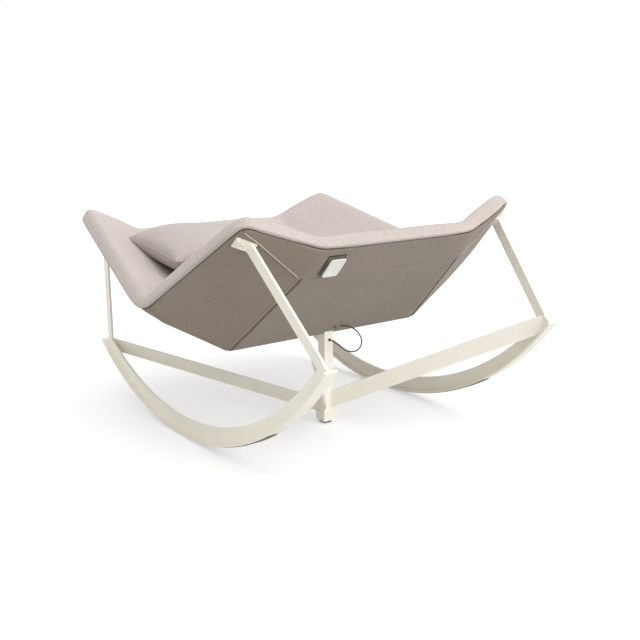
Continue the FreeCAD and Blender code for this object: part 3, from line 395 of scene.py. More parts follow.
# Moulded and plated finishes: sRGB hex, roughness, grain and relief in metres, and how metallic.
FINISHES = {
    "zinc_plate": ("A9ABAE", 0.38, 0.002, 0.00005, 1.0),
    "turned_brass": ("C9A25A", 0.35, 0.002, 0.00005, 1.0),
    "foot_rubber": ("2B2622", 0.78, 0.0015, 0.0003),
    "black_nylon": ("1C1A19", 0.5, 0.001, 0.0001),
    "shell_board": ("8F8B84", 0.6, 0.002, 0.0001),
    "zip_tape": ("2A2420", 0.8, 0.001, 0.0003),
}


def finish_of(name):
    return material_of(name, moulded, *FINISHES[name])


def cloth_of(part):
    cloth = bpy.context.scene.lounge_cloth
    # the under cloth's colour is the top cloth darkened as painted shade
    colours = {"top": cloth.top_colour, "under": cloth.shaded_under_colour, "cushion": cloth.pillow_colour}
    return material_of(
        "wool_felt_" + part, wool_felt, colours[part], cloth.thread, 0.4 if part == "cushion" else 0.0
    )


# Mesh helpers


def new_piece(name, mesh, smooth=True):
    for polygon in mesh.polygons:
        polygon.use_smooth = smooth
    piece = bpy.data.objects.new(name, mesh)
    bpy.context.scene.collection.objects.link(piece)
    return piece


def mesh_piece(name, points, faces, material, smooth=True):
    """A piece whose place is in its mesh, with faces turned outwards."""
    mesh = bpy.data.meshes.new(name)
    mesh.from_pydata([tuple(p) for p in points], [], [tuple(int(i) for i in f) for f in faces])
    bm = bmesh.new()
    bm.from_mesh(mesh)
    bmesh.ops.recalc_face_normals(bm, faces=bm.faces)
    bm.to_mesh(mesh)
    bm.free()
    mesh.validate()
    mesh.materials.append(material)
    return new_piece(name, mesh, smooth)


def carry(piece, body):
    """Says which body carries a piece."""
    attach(piece, body)


def plain_mesh(piece):
    """Applies every modifier of a piece."""
    view = bpy.context.evaluated_depsgraph_get()
    mesh = bpy.data.meshes.new_from_object(piece.evaluated_get(view))
    piece.modifiers.clear()
    piece.data = mesh
    return piece


def weld(points, faces, step=1e-5):
    """Joins points that coincide."""
    keys = np.round(np.asarray(points) / step).astype(np.int64)
    _, first, back = np.unique(keys, axis=0, return_index=True, return_inverse=True)
    back = back.reshape(-1)
    return np.asarray(points)[first], back[np.asarray(faces)]


def patch(a, b, c, d, across, along):
    """Grid of quads on the four-sided patch a-b-c-d, across steps from a to b and along steps from a to d."""
    s = np.linspace(0, 1, across + 1)[:, None, None]
    t = np.linspace(0, 1, along + 1)[None, :, None]
    grid = (a * (1 - s) + b * s) * (1 - t) + (d * (1 - s) + c * s) * t
    index = np.arange((across + 1) * (along + 1)).reshape(across + 1, along + 1)
    faces = np.stack([index[:-1, :-1], index[1:, :-1], index[1:, 1:], index[:-1, 1:]], axis=-1)
    return grid.reshape(-1, 3), faces.reshape(-1, 4)


def panel_grid(points, steps):
    """A panel as one patch for each of its corners, so that neighbours share the points on an edge."""
    points = [np.asarray(p, float) for p in points]
    middle = sum(points) / len(points)
    grids = []
    count = len(points)
    for i, corner in enumerate(points):
        after = (corner + points[(i + 1) % count]) / 2
        before = (corner + points[i - 1]) / 2
        grids.append(patch(corner, after, middle, before, steps, steps))
    return grids


def border_distance(spots, ring):
    """Distance of each spot to the nearest edge of a panel."""
    best = np.full(len(spots), 1e9)
    for a, b in zip(ring, ring[1:] + ring[:1]):
        along = b - a
        t = np.clip(((spots - a) @ along) / (along @ along), 0, 1)
        best = np.minimum(best, np.linalg.norm(spots - (a + t[:, None] * along), axis=1))
    return best


def neighbours(count, faces):
    """For each point, the points that share an edge with it, padded with the point itself."""
    pairs = set()
    for f in faces:
        for a, b in zip(f, np.roll(f, -1)):
            pairs.add((int(a), int(b)))
            pairs.add((int(b), int(a)))
    lists = [[] for _ in range(count)]
    for a, b in pairs:
        lists[a].append(b)
    most = max(len(x) for x in lists)
    table = np.tile(np.arange(count)[:, None], (1, most))
    share = np.zeros((count, most))
    for i, x in enumerate(lists):
        x.sort()
        table[i, : len(x)] = x
        share[i, : len(x)] = 1.0 / max(1, len(x))
    return table, share


def relax(points, table, share, weight, rounds):
    """Moves each point towards its neighbours' mean; weight says how far."""
    points = points.copy()
    for _ in range(rounds):
        mean = (points[table] * share[:, :, None]).sum(axis=1)
        points += (mean - points) * weight[:, None]
    return points


# Quads along half an edge of a panel, and across the rim.
STEPS = 22
RIM_ROWS = 6
# Distance from a panel's edge over which its crown rises, in metres.
CROWN_REACH = 0.05
# Thickness of the top's foam and cloth, of the underside cloth and of the board, and how deep the board lies.
FOAM_THICK = 0.012
COVER_THICK = 0.0024
BOARD_THICK = 0.012
BOARD_DEPTH = 0.004


def shell_skin(cloth):
    """The whole upholstered shell as one closed skin of fine quads, its folds still sharp.

    Returns its points, its quads and each quad's zone: a panel's name with +out or +in, or rim.
    """
    deep = cloth.shell_thick
    inner = {k: OUTER[k] + INWARD[k] * deep for k in OUTER}
    points, faces, zones, swell = [], [], [], []
    base = 0

    def keep(grid, zone, lift):
        nonlocal base
        points.append(grid[0])
        faces.append(grid[1] + base)
        zones.extend([zone] * len(grid[1]))
        swell.append(lift)
        base += len(grid[0])

    for name, keys in PANELS.items():
        for side, corners in (("+out", OUTER), ("+in", inner)):
            ring = [corners[k] for k in keys]
            for grid in panel_grid(ring, STEPS):
                away = border_distance(grid[0], ring)
                lift = np.zeros((len(away), 3))
                if side == "+in":
                    lift -= NORMALS[name] * (cloth.crown * (1 - np.exp(-away / CROWN_REACH)))[:, None]
                keep(grid, name + side, lift)
    for a, b in zip(RIM, RIM[1:] + RIM[:1]):
        middle = (OUTER[a] + OUTER[b]) / 2, (inner[a] + inner[b]) / 2
        for corner in (a, b):
            grid = patch(OUTER[corner], middle[0], middle[1], inner[corner], STEPS, RIM_ROWS)
            keep(grid, "rim", np.zeros((len(grid[0]), 3)))
    lifts = np.concatenate(swell)
    all_points = np.concatenate(points)
    welded, quads = weld(all_points, np.concatenate(faces))
    back = np.zeros(len(all_points), int)
    back[np.concatenate(faces).reshape(-1)] = quads.reshape(-1)
    lift = np.zeros((len(welded), 3))
    np.add.at(lift, back, lifts)
    hits = np.zeros(len(welded))
    np.add.at(hits, back, 1)
    return welded + lift / np.maximum(hits, 1)[:, None], quads, np.array(zones)


# How far one last round of smoothing moves the soft faces, the underside and the line between them.
SOFT, TIGHT, RIM_LINE, LAST_ROUNDS = 0.5, 0.22, 0.25, 6
# Reach in metres and rounds of smoothing that turn each rim corner into a curve.
ROUNDING = {"N": (0.07, 9), "L": (0.045, 4), "V": (0.085, 12), "F": (0.11, 9), "G": (0.12, 10)}


def rounded_skin(cloth):
    """The skin with its folds rounded: tight under the shell, soft on the rim and inside."""
    points, quads, zones = shell_skin(cloth)
    table, share = neighbours(len(points), quads)
    under = np.array([z.endswith("+out") for z in zones])
    soft = np.zeros(len(points))
    soft[quads[~under].reshape(-1)] = 1.0
    outer_rim = np.zeros(len(points), bool)
    outer_rim[quads[under].reshape(-1)] = True
    outer_rim &= soft > 0
    # the rim's corners are rounded first, one kind after another
    for key, (reach, rounds) in ROUNDING.items():
        spots = np.zeros(len(points))
        for side in "lr":
            for centre in (OUTER[key + side], OUTER[key + side] + INWARD[key + side] * cloth.shell_thick):
                away = np.linalg.norm(points - centre, axis=1)
                spots = np.maximum(spots, np.clip(1.4 * (1 - away / reach), 0, 1))
        points = relax(points, table, share, spots * 0.9, rounds)
    weight = np.where(soft > 0, SOFT, TIGHT)
    weight[outer_rim] = RIM_LINE
    return relax(points, table, share, weight, LAST_ROUNDS), quads, zones


def sheet_from(points, quads, draw_in, thick, name, material, sink=0.0):
    """Cloth with closed edges: a zone of the skin, sunk inwards, drawn in at its border and thickened."""
    used = np.unique(quads)
    renumber = np.full(len(points), -1)
    renumber[used] = np.arange(len(used))
    bm = bmesh.new()
    for p in points[used]:
        bm.verts.new(p)
    bm.verts.ensure_lookup_table()
    for f in renumber[quads]:
        bm.faces.new([bm.verts[i] for i in f])
    bmesh.ops.recalc_face_normals(bm, faces=bm.faces)
    bm.normal_update()
    if sum((f.calc_center_median() - Vector(INSIDE)).dot(f.normal) for f in bm.faces) < 0:
        bmesh.ops.reverse_faces(bm, faces=bm.faces)
        bm.normal_update()
    sunk = [v.co - v.normal * sink for v in bm.verts]
    for vert, spot in zip(bm.verts, sunk):
        vert.co = spot
    # the border is drawn in along the cloth
    moves = {}
    for number, vert in zip(used, bm.verts):
        edges = [e for e in vert.link_edges if e.is_boundary]
        if edges:
            centre = sum((f.calc_center_median() for f in vert.link_faces), Vector()) / len(vert.link_faces)
            along = Vector()
            for e in edges:
                other = e.other_vert(vert).co - vert.co
                along = other.normalized() if along.length == 0 else along - other.normalized()
            along.normalize()
            into = centre - vert.co
            into -= along * into.dot(along)
            if into.length > 1e-9:
                moves[vert] = into.normalized() * draw_in[number]
    for vert, move in moves.items():
        vert.co += move
    mesh = bpy.data.meshes.new(name)
    bm.to_mesh(mesh)
    bm.free()
    mesh.materials.append(material)
    piece = new_piece(name, mesh)
    wall = piece.modifiers.new("thickness", "SOLIDIFY")
    wall.thickness = thick
    wall.offset = -1
    wall.use_even_offset = False
    plain_mesh(piece)
    return piece


def ring_tube(name, line, radius, material, closed=False, sides=10):
    """A round cord along a line of points, with closed ends."""
    line = [Vector(p) for p in line]
    count = len(line)
    points, faces = [], []
    up = None
    for i, p in enumerate(line):
        before = line[i - 1] if (closed or i > 0) else line[i]
        after = line[(i + 1) % count] if (closed or i < count - 1) else line[i]
        along = (after - before).normalized()
        if up is None:
            up = along.orthogonal().normalized()
        up = (up - along * up.dot(along)).normalized()
        side = along.cross(up)
        for k in range(sides):
            angle = 2 * math.pi * k / sides
            points.append(p + (up * math.cos(angle) + side * math.sin(angle)) * radius)
    for i in range(count if closed else count - 1):
        j = (i + 1) % count
        for k in range(sides):
            m = (k + 1) % sides
            faces.append((i * sides + k, i * sides + m, j * sides + m, j * sides + k))
    if not closed:
        faces += [tuple(range(sides)), tuple(range((count - 1) * sides, count * sides))]
    return mesh_piece(name, points, faces, material)


def join(name, pieces):
    """Joins pieces into the first one."""
    first = pieces[0]
    bm = bmesh.new()
    for piece in pieces:
        bm.from_mesh(piece.data)
    bm.to_mesh(first.data)
    bm.free()
    for piece in pieces[1:]:
        bpy.data.objects.remove(piece)
    first.name = name
    return first


def flat_size(points, quads):
    """Width, length and area of the cloth that a zone of the skin is cut from."""
    a, b, c, d = (points[quads[:, k]] for k in range(4))
    area = float(np.linalg.norm(np.cross(c - a, d - b), axis=1).sum() / 2)
    spots = points[np.unique(quads)]
    spread = spots - spots.mean(axis=0)
    axes = np.linalg.svd(spread, full_matrices=False)[2]
    reach = np.ptp(spread @ axes.T, axis=0)
    long = float(math.hypot(reach[0], reach[2]))
    return (max(float(reach[1]), area / long * 1.02), long), area


def seam_ids(quads, zones, first, second):
    """Numbers of the skin's points on the seam between two zones."""
    one = np.unique(quads[np.isin(zones, first)])
    two = np.unique(quads[np.isin(zones, second)])
    return np.intersect1d(one, two)


def edge_line(points, quads, zones, first, second):
    """The points of the skin on the seam between two zones, in order."""
    shared = set(seam_ids(quads, zones, first, second).tolist())
    links = {}
    for f in quads[np.isin(zones, first)]:
        for a, b in zip(f, np.roll(f, -1)):
            if a in shared and b in shared:
                links.setdefault(int(a), set()).add(int(b))
                links.setdefault(int(b), set()).add(int(a))
    ends = [i for i, x in links.items() if len(x) == 1]
    start = min(ends) if ends else min(links)
    order, seen = [start], {start}
    while True:
        ahead = [i for i in sorted(links[order[-1]]) if i not in seen]
        if not ahead:
            break
        order.append(ahead[0])
        seen.add(ahead[0])
    return points[order]


def repeat_along(name, line, pitch, size, material, round_item=True):
    """Small like items along a line, laid out by Geometry Nodes and turned into a plain mesh."""
    curve = bpy.data.curves.new(name, "CURVE")
    curve.dimensions = "3D"
    spline = curve.splines.new("POLY")
    spline.points.add(len(line) - 1)
    for point, spot in zip(spline.points, line):
        point.co = (*[float(c) for c in spot], 1.0)
    host = bpy.data.objects.new(name, curve)
    bpy.context.scene.collection.objects.link(host)
    tree = bpy.data.node_groups.new(name + "_layout", "GeometryNodeTree")
    tree.interface.new_socket("Geometry", in_out="INPUT", socket_type="NodeSocketGeometry")
    tree.interface.new_socket("Geometry", in_out="OUTPUT", socket_type="NodeSocketGeometry")
    spacing = tree.interface.new_socket("Spacing", in_out="INPUT", socket_type="NodeSocketFloat")
    item = tree.interface.new_socket("Item size", in_out="INPUT", socket_type="NodeSocketVector")
    entry = tree.nodes.new("NodeGroupInput")
    spots = add(
        tree,
        "GeometryNodeCurveToPoints",
        links={"Curve": entry.outputs["Geometry"], "Length": entry.outputs["Spacing"]},
        mode="LENGTH",
    )
    if round_item:
        shape = add(tree, "GeometryNodeMeshUVSphere", {"Segments": 8, "Rings": 6, "Radius": 0.5})
    else:
        shape = add(tree, "GeometryNodeMeshCube", {"Size": (1, 1, 1)})
    copies = add(
        tree,
        "GeometryNodeInstanceOnPoints",
        links={
            "Points": spots.outputs["Points"],
            "Instance": shape.outputs["Mesh"],
            "Rotation": spots.outputs["Rotation"],
            "Scale": entry.outputs["Item size"],
        },
    )
    real = add(tree, "GeometryNodeRealizeInstances", links={"Geometry": copies.outputs[0]})
    dressed = add(tree, "GeometryNodeSetMaterial", {"Material": material}, {"Geometry": real.outputs[0]})
    add(tree, "NodeGroupOutput", links={"Geometry": dressed.outputs[0]})
    layout = host.modifiers.new("layout", "NODES")
    layout.node_group = tree
    layout[spacing.identifier] = pitch
    # the items' own Z lies along the line
    layout[item.identifier] = (size[1], size[2], size[0])
    view = bpy.context.evaluated_depsgraph_get()
    mesh = bpy.data.meshes.new_from_object(host.evaluated_get(view))
    bpy.data.objects.remove(host)
    mesh.name = name
    if not mesh.materials:
        mesh.materials.append(material)
    return new_piece(name, mesh, round_item)


def zip_piece(name, line, outward, width):
    """A zip in its seam: a woven tape on the shell with a row of coil teeth along its middle."""
    line = np.asarray(line)
    tape = finish_of("zip_tape")
    across = np.cross(line[-1] - line[0], outward)
    across /= np.linalg.norm(across)
    count = len(line)
    half = width / 2 + 0.001
    low, high = -0.0026, -0.0014
    profile = ((-half, low), (half, low), (half, high), (-half, high))
    points = [p + across * a + outward * b for p in line for a, b in profile]
    faces = [
        (i * 4 + k, i * 4 + (k + 1) % 4, i * 4 + 4 + (k + 1) % 4, i * 4 + 4 + k)
        for i in range(count - 1)
        for k in range(4)
    ]
    faces += [(0, 1, 2, 3), tuple(range(count * 4 - 4, count * 4))]
    band = mesh_piece(name + "_tape", points, faces, tape, smooth=False)
    teeth = repeat_along(
        name + "_teeth", [p + outward * -0.0012 for p in line[1:-1]], 0.0024, (0.0012, 0.0036, 0.0014), tape
    )
    for piece in (band, teeth):
        carry(piece, "chair")
    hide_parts("zip_tapes")


# Pieces


PAD_NODES = ["upper_front", "front", "seat", "back", "right_front", "right_back", "left_front", "left_back"]
# Half the width of the stitched seam between the strip and the front cover.
STRIP_SEAM = 0.0005


def under_board(points, quads, inner):
    """Stiff board behind the underside covers; it ends two rows of quads short of the rim."""
    hidden, near_rim = ~inner, np.unique(quads[inner])
    for _ in range(2):
        hidden = hidden & ~np.isin(quads, near_rim).any(axis=1)
        near_rim = np.unique(quads[~hidden])
    uncut = np.zeros(len(points))
    finish = finish_of("shell_board")
    board = sheet_from(points, quads[hidden], uncut, BOARD_THICK, "shell_board", finish, sink=BOARD_DEPTH)
    carry(board, "chair")
    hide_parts("shell_core")


def under_covers(points, quads, zones, draw_in):
    """Cloth covers stretched over the board, one for each cut piece."""
    for name, panels in COVERS.items():
        wanted = np.isin(zones, [p + "+out" for p in panels])
        # the covers take the under cloth, whose colour holds painted shade
        cover = sheet_from(points, quads[wanted], draw_in, COVER_THICK, name, cloth_of("under"))
        carry(cover, "chair")
        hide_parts(*[p + "_cover" for p in panels if p + "_cover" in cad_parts])
        flat, area = flat_size(points, quads[wanted])


def side_trims(points, quads, zones, word, cloth):
    """Zip below one front corner, the cord beside it, and the piping on the ridge above."""
    piped = material_of("wool_felt_piping", wool_felt, cloth.piping_colour, cloth.thread)
    piping_radius, edging_radius = 0.003, 0.0013
    line = edge_line(points, quads, zones, ["front+out"], [word + "_front+out"])
    outward = NORMALS["front"] + NORMALS[word + "_front"]
    outward /= np.linalg.norm(outward)
    zip_piece(word + "_zip", line, outward, cloth.zip_width)
    ridge = edge_line(points, quads, zones, ["front_corner_" + word + "+out"], [word + "_front+out"])
    lift = NORMALS["front_corner_" + word] + NORMALS[word + "_front"]
    lift /= np.linalg.norm(lift)
    raised = [p + lift * 0.0012 for p in ridge[2:-2]]
    piping = ring_tube(word + "_front_piping", raised, piping_radius, piped)
    beside = np.cross(line[-1] - line[0], outward)
    beside *= (1 if beside[0] * line[0][0] > 0 else -1) / np.linalg.norm(beside)
    away = cloth.zip_width / 2 + 0.0015
    lip = [p + beside * away + outward * 0.0004 for p in line[2:-2]]
    edging = ring_tube(word + "_zip_piping", lip, edging_radius, piped)
    for trim in (piping, edging):
        carry(trim, "chair")


def strip_stitches(points, quads, zones):
    """Row of stitches just above the seam between the strip and the front cover."""
    strip = edge_line(points, quads, zones, ["front+out"], ["upper_front+out"])
    lift = NORMALS["front"] + NORMALS["upper_front"]
    lift /= np.linalg.norm(lift)
    above_seam = np.array((0, -0.0022, 0.002))
    places = [p + lift * 0.0002 + above_seam for p in strip[1:-1]]
    thread = material_of("sewing_thread", wool_felt, "C2B4A3", 0.0006)
    spacing, stitch = 0.0062, (0.0042, 0.0011, 0.0011)
    row = repeat_along("strip_stitches", places, spacing, stitch, thread)
    carry(row, "chair")


class LOUNGE_OT_upholstery(bpy.types.Operator):
    """Top upholstery, underside covers, seams and zips"""

    bl_idname = "lounge.upholstery"
    bl_label = "Upholstery"

    def execute(self, context):
        cloth = context.scene.lounge_cloth
        points, quads, zones = rounded_skin(cloth)
        inner = np.array([z == "rim" or z.endswith("+in") for z in zones])
        draw_in = np.full(len(points), cloth.seam_gap / 2)
        for word in ("right", "left"):
            draw_in[seam_ids(quads, zones, ["front+out"], [word + "_front+out"])] = cloth.zip_width / 2
        draw_in[seam_ids(quads, zones, ["front+out"], ["upper_front+out"])] = STRIP_SEAM
        pad = sheet_from(points, quads[inner], draw_in, FOAM_THICK, "top_upholstery", cloth_of("top"))
        carry(pad, "chair")
        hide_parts(*[n + "_pad" for n in PAD_NODES], "rim_welt")
        under_board(points, quads, inner)
        under_covers(points, quads, zones, draw_in)
        for word in ("right", "left"):
            side_trims(points, quads, zones, word, cloth)
        strip_stitches(points, quads, zones)
        return {"FINISHED"}


class LOUNGE_OT_cushion(bpy.types.Operator):
    """Loose cushion: two sewn faces that its filling crowns, with a welted edge seam"""

    bl_idname = "lounge.cushion"
    bl_label = "Cushion"

    def execute(self, context):
        settings = context.scene.lounge_cushion
        wide, deep = settings.cut
        columns, rows = 66, 46
        crown, squareness, fullness, unevenness = 0.088, 3, 0.55, 0.05
        hollow_ends, hollow_sides, pressed = 0.04, 0.06, 0.96
        points, faces = [], []
        for layer in (1, -1):
            for i in range(columns + 1):
                for j in range(rows + 1):
                    u = i / columns * 2 - 1
                    v = j / rows * 2 - 1
                    lift = crown * ((1 - abs(u) ** squareness) * (1 - abs(v) ** squareness)) ** fullness
                    # the filling lies a little unevenly
                    lift *= 1 + unevenness * noise.noise(Vector((u * 2.3, v * 2.3, layer * 1.7)))
                    # the filling draws the sides in between the corners
                    x = u * wide / 2 * (1 - hollow_ends * (1 - v * v))
                    y = v * deep / 2 * (1 - hollow_sides * (1 - u * u))
                    points.append((x, y, layer * lift))
        step = rows + 1
        size = (columns + 1) * step
        for layer in (0, 1):
            for i in range(columns):
                for j in range(rows):
                    a = layer * size + i * step + j
                    quad = (a, a + step, a + step + 1, a + 1)
                    faces.append(quad if layer == 0 else quad[::-1])
        welded, quads = weld(points, faces)
        ring = [i * step for i in range(columns)] + [columns * step + j for j in range(rows)]
        ring += [i * step + rows for i in range(columns, 0, -1)] + list(range(rows, 0, -1))
        seam = [int(np.argmin(((welded - np.array(points[i])) ** 2).sum(axis=1))) for i in ring]
        piece = mesh_piece("loose_cushion", welded, quads, cloth_of("cushion"))
        spots = np.array([v.co for v in piece.data.vertices])
        extent = np.abs(spots).max(axis=0)
        spots *= (np.array(settings.full) / 2 * (1, 1, 1)) / extent
        # the lower face is a little flatter
        low = spots[:, 2] < 0
        spots[low, 2] *= pressed
        turn = Matrix.Rotation(settings.pitch, 3, "X") @ Matrix.Rotation(settings.roll, 3, "Y")
        spots = spots @ np.array(turn).T + np.array(settings.centre)
        for vert, spot in zip(piece.data.vertices, spots):
            vert.co = spot
        settle = piece.modifiers.new("settle", "SMOOTH")
        settle.factor = 0.5
        settle.iterations = 3
        finer = piece.modifiers.new("finer", "SUBSURF")
        finer.levels = finer.render_levels = 1
        plain_mesh(piece)
        for polygon in piece.data.polygons:
            polygon.use_smooth = True
        edge = [piece.data.vertices[i].co.copy() for i in seam]
        welt = ring_tube("cushion_edge_seam", edge, 0.0021, cloth_of("cushion"), closed=True, sides=8)
        carry(welt, "cushion")
        carry(piece, "cushion")
        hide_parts("pillow")
        return {"FINISHED"}


# The cable's route in metres: out of the clip, down in a slack loop and back up into the post.
CABLE_ROUTE = [
    (0.025, -0.0514, 0.3871),
    (0.059, -0.0514, 0.3871),
    (0.094, -0.072, 0.366),
    (0.116, -0.084, 0.323),
    (0.086, -0.092, 0.288),
    (0.038, -0.082, 0.291),
    (0.003, -0.054, 0.331),
    (0.003, -0.022, 0.331),
]


class LOUNGE_OT_cable(bpy.types.Operator):
    """Sheathed brake cable from the clip under the seat to the post"""

    bl_idname = "lounge.cable"
    bl_label = "Brake cable"

    def execute(self, context):
        curve = bpy.data.curves.new("sheathed_cable", "CURVE")
        curve.dimensions = "3D"
        spline = curve.splines.new("NURBS")
        spline.points.add(len(CABLE_ROUTE) - 1)
        for point, spot in zip(spline.points, CABLE_ROUTE):
            point.co = (*spot, 1.0)
        spline.order_u = 3
        spline.use_endpoint_u = True
        curve.resolution_u = 16
        curve.bevel_depth = 0.0025
        curve.bevel_resolution = 4
        curve.use_fill_caps = True
        metal = context.scene.lounge_metal
        curve.materials.append(material_of("pvc_sheath", moulded, metal.cable_colour, 0.42, 0.004, 0.0001))
        cable = bpy.data.objects.new("sheathed_cable", curve)
        context.scene.collection.objects.link(cable)
        carry(cable, "chair")
        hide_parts("brake_cable")
        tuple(CABLE_ROUTE[0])
        return {"FINISHED"}


def rounded_outline(wide, tall, radius):
    """Points round a plate with rounded corners, whose lower edge is at zero."""
    outline = []
    for x, u, start in (
        (wide / 2 - radius, tall - radius, 0),
        (-wide / 2 + radius, tall - radius, 90),
        (-wide / 2 + radius, radius, 180),
        (wide / 2 - radius, radius, 270),
    ):
        for step in range(7):
            angle = math.radians(start + 15 * step)
            outline.append((x + radius * math.cos(angle), u + radius * math.sin(angle)))
    return outline


def dished_plate(outline, tall, sheet, stand_off, place):
    """Points and faces of a pressed plate whose middle lies a little nearer to the panel than its rim."""
    rings, dish_depth, hem = 9, 0.0022, 0.0012
    middle = (0, tall / 2)
    count = len(outline)
    points, faces = [], []
    for layer in (0, 1):
        for ring in range(rings):
            share = 1 - ring / rings
            for x, u in outline:
                px = middle[0] + (x - middle[0]) * share
                pu = middle[1] + (u - middle[1]) * share
                dish = dish_depth * (1 - share**2) - hem * max(0.0, share - 0.9) * 10 * layer
                points.append(place(px, pu, stand_off + layer * sheet - (dish if layer else dish * 0.4)))
    for layer in (0, 1):
        low = layer * rings * count
        for ring in range(rings - 1):
            here, next_ring = low + ring * count, low + (ring + 1) * count
            for k in range(count):
                m = (k + 1) % count
                faces.append((here + k, here + m, next_ring + m, next_ring + k))
        faces.append(tuple(low + (rings - 1) * count + k for k in range(count)))
    for k in range(count):
        m = (k + 1) % count
        faces.append((k, m, rings * count + m, rings * count + k))
    return points, faces


class LOUNGE_OT_lever(bpy.types.Operator):
    """Pressed-steel paddle with rounded corners on its rib and hub"""

    bl_idname = "lounge.lever"
    bl_label = "Brake lever"

    def execute(self, context):
        metal = context.scene.lounge_metal
        up = np.array((0, CORNERS["F"][1] - CORNERS["S"][1], CORNERS["F"][2] - CORNERS["S"][2]), float)
        up /= np.linalg.norm(up)
        out = NORMALS["upper_front"]
        right = np.array((1.0, 0, 0))
        wide, tall, sheet = metal.paddle
        # the paddle's lower edge lies 15 mm above the panel's fold
        from_middle, above_fold, corner_radius = -0.26, 0.015, 0.009
        stand_off, pin_up, pin_depth = 0.011, 0.009, 0.009
        hub_half, hub_radius = 0.014, 0.008
        rib_half, rib_top, rib_low, rib_high = 0.006, 0.035, -0.017, 0.0115
        base = np.array((from_middle, CORNERS["S"][1] * MM, CORNERS["S"][2] * MM)) + up * above_fold

        def place(x, u, n):
            return base + right * x + up * u + out * n

        outline = rounded_outline(wide, tall, corner_radius)
        points, faces = dished_plate(outline, tall, sheet, stand_off, place)
        finish = material_of("powder_coat_lever", powder_coat, metal.lever_colour, 0.34)
        plate = mesh_piece("paddle", points, faces, finish)
        pin = base + up * pin_up - out * pin_depth
        length = np.linspace(-hub_half, hub_half, 5)
        hub = ring_tube("hub", [pin + right * x for x in length], hub_radius, finish, sides=24)
        corners = [
            place(x, u, n)
            for x in (-rib_half, rib_half)
            for u in (pin_up, rib_top)
            for n in (rib_low, rib_high)
        ]
        sides = [(0, 1, 3, 2), (4, 6, 7, 5), (0, 4, 5, 1), (2, 3, 7, 6), (0, 2, 6, 4), (1, 5, 7, 3)]
        rib = mesh_piece("rib", corners, sides, finish, smooth=False)
        lever = join("paddle_lever", [plate, hub, rib])
        soften = lever.modifiers.new("soften", "BEVEL")
        soften.width = 0.0008
        soften.segments = 2
        soften.limit_method = "ANGLE"
        plain_mesh(lever)
        carry(lever, "lever")
        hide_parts("brake_lever")
        return {"FINISHED"}


class LOUNGE_OT_spring(bpy.types.Operator):
    """Return spring of the brake foot, copied from its node onto the chair"""

    bl_idname = "lounge.spring"
    bl_label = "Return spring"

    def execute(self, context):
        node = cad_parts["return_spring"]
        points = [node.matrix_world @ v.co for v in node.data.vertices]
        faces = [tuple(p.vertices) for p in node.data.polygons]
        coil = mesh_piece("coil_spring", points, faces, finish_of("zinc_plate"))
        carry(coil, "chair")
        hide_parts("return_spring")
        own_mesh(coil)
        return {"FINISHED"}


class LOUNGE_OT_metal(bpy.types.Operator):
    """Paint, plating and rubber on the rigid nodes"""

    bl_idname = "lounge.metal"
    bl_label = "Frame finishes"

    def execute(self, context):
        metal = context.scene.lounge_metal
        made = {
            "frame_paint": material_of("powder_coat_cream", powder_coat, metal.frame_colour),
            "lever_paint": material_of("powder_coat_lever", powder_coat, metal.lever_colour, 0.34),
            "screw_paint": material_of("powder_coat_screws", powder_coat, metal.screw_colour, 0.38),
            "zinc_steel": finish_of("zinc_plate"),
            "insert_brass": finish_of("turned_brass"),
            "liner_rubber": material_of("liner_rubber", moulded, metal.rubber_colour, 0.75, 0.0015, 0.0002),
            "foot_rubber": finish_of("foot_rubber"),
            "cable_rubber": material_of("pvc_sheath", moulded, metal.cable_colour, 0.42, 0.004, 0.0001),
            "black_plastic": finish_of("black_nylon"),
            "shell_plastic": finish_of("shell_board"),
            "zip_tape": finish_of("zip_tape"),
            "seat_fabric": cloth_of("top"),
            "under_fabric": cloth_of("under"),
            "pillow_fabric": cloth_of("cushion"),
        }
        # the cable clip takes the under cloth's colour, which holds painted shade
        clip = material_of(
            "taupe_nylon", moulded, context.scene.lounge_cloth.shaded_under_colour, 0.7, 0.001, 0.0001
        )
        for name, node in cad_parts.items():
            for slot in node.material_slots:
                label = slot.material.name.split(".")[0] if slot.material else ""
                found = made.get(label, made["frame_paint"])
                slot.material = clip if name == "cable_outlet" else found
        return {"FINISHED"}


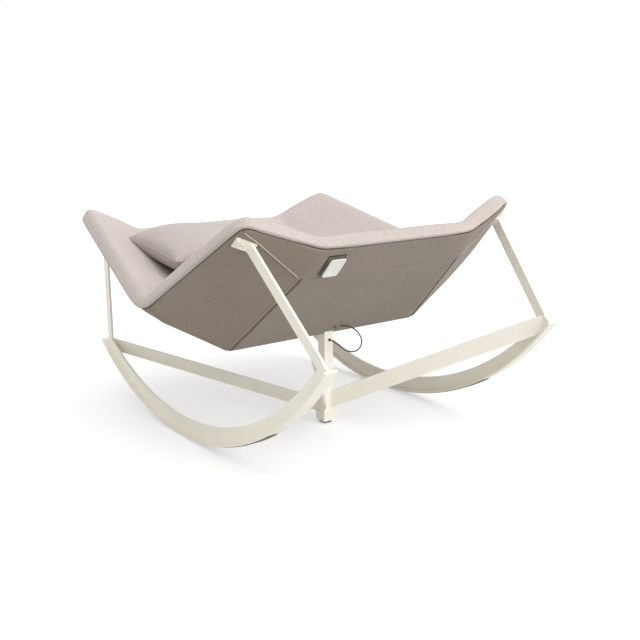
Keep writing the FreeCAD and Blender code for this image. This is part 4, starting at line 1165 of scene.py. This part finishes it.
class LOUNGE_OT_stage(bpy.types.Operator):
    """White studio floor, soft light and the camera"""

    bl_idname = "lounge.stage"
    bl_label = "Studio"

    def execute(self, context):
        settings = context.scene.lounge_stage
        scene = context.scene
        scene.view_settings.view_transform = "Standard"
        material, tree, shader = new_material("studio_floor")
        shader.inputs["Base Color"].default_value = linear(settings.floor_colour)
        shader.inputs["Roughness"].default_value = 0.95
        shader.inputs["Specular IOR Level"].default_value = 0.0
        lift = add(
            tree, "ShaderNodeMath", {1: settings.floor_lift}, {0: seen_straight(tree)}, operation="MULTIPLY"
        )
        shader.inputs["Emission Color"].default_value = (1, 1, 1, 1)
        tree.links.new(lift.outputs[0], shader.inputs["Emission Strength"])
        half, drop = 14.0, -0.0006
        floor = mesh_piece(
            "studio_floor",
            [(-half, -half, drop), (half, -half, drop), (half, half, drop), (-half, half, drop)],
            [(0, 1, 2, 3)],
            material,
            smooth=False,
        )
        world = bpy.data.worlds.new("studio")
        scene.world = world
        world.use_nodes = True
        tree = world.node_tree
        tree.nodes.clear()
        strength = add(
            tree,
            "ShaderNodeMapRange",
            {"From Min": 0.0, "From Max": 1.0, "To Min": settings.sky, "To Max": 1.0},
            {"Value": seen_straight(tree)},
        )
        back = add(tree, "ShaderNodeBackground", {"Color": (1, 1, 1, 1)}, {"Strength": strength.outputs[0]})
        add(tree, "ShaderNodeOutputWorld", links={"Surface": back.outputs[0]})
        for name, place, spread, strength in (
            ("overhead", (0.25, -0.7, 2.6), 55, settings.key),
            ("front", (0.9, -2.4, 1.1), 60, settings.fill),
        ):
            data = bpy.data.lights.new(name, "SUN")
            data.angle = math.radians(spread)
            data.energy = strength
            lamp = bpy.data.objects.new(name, data)
            lamp.location = place
            lamp.rotation_euler = (-Vector(place)).to_track_quat("-Z", "Y").to_euler()
            scene.collection.objects.link(lamp)
        data = bpy.data.cameras.new("camera")
        data.lens = settings.lens
        data.sensor_width = 36
        data.clip_end = 100
        camera = bpy.data.objects.new("camera", data)
        camera.location = settings.eye
        camera.rotation_euler = Vector(settings.look).to_track_quat("-Z", "Y").to_euler()
        scene.collection.objects.link(camera)
        scene.camera = camera
        return {"FINISHED"}


class LOUNGE_PT_panel(bpy.types.Panel):
    bl_idname = "LOUNGE_PT_panel"
    bl_label = "Rocking chaise lounge"
    bl_space_type = "VIEW_3D"
    bl_region_type = "UI"
    bl_category = "Lounge"

    def draw(self, context):
        for operator in OPERATORS:
            self.layout.operator(operator.bl_idname)


GROUPS = {
    "lounge_cloth": LoungeCloth,
    "lounge_cushion": LoungeCushion,
    "lounge_metal": LoungeMetal,
    "lounge_stage": LoungeStage,
}
OPERATORS = [
    LOUNGE_OT_stage,
    LOUNGE_OT_cable,
    LOUNGE_OT_upholstery,
    LOUNGE_OT_cushion,
    LOUNGE_OT_lever,
    LOUNGE_OT_spring,
    LOUNGE_OT_metal,
]


def register():
    for group in GROUPS.values():
        bpy.utils.register_class(group)
    for name, group in GROUPS.items():
        setattr(bpy.types.Scene, name, bpy.props.PointerProperty(type=group))
    for operator in OPERATORS:
        bpy.utils.register_class(operator)
    bpy.utils.register_class(LOUNGE_PT_panel)


def unregister():
    bpy.utils.unregister_class(LOUNGE_PT_panel)
    for operator in reversed(OPERATORS):
        bpy.utils.unregister_class(operator)
    for name, group in GROUPS.items():
        delattr(bpy.types.Scene, name)
        bpy.utils.unregister_class(group)


def main():
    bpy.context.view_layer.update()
    register()
    bpy.ops.lounge.stage()
    bpy.ops.lounge.cable()
    bpy.ops.lounge.upholstery()
    bpy.ops.lounge.cushion()
    bpy.ops.lounge.lever()
    bpy.ops.lounge.spring()
    bpy.ops.lounge.metal()


if __name__ == "__main__":
    main()
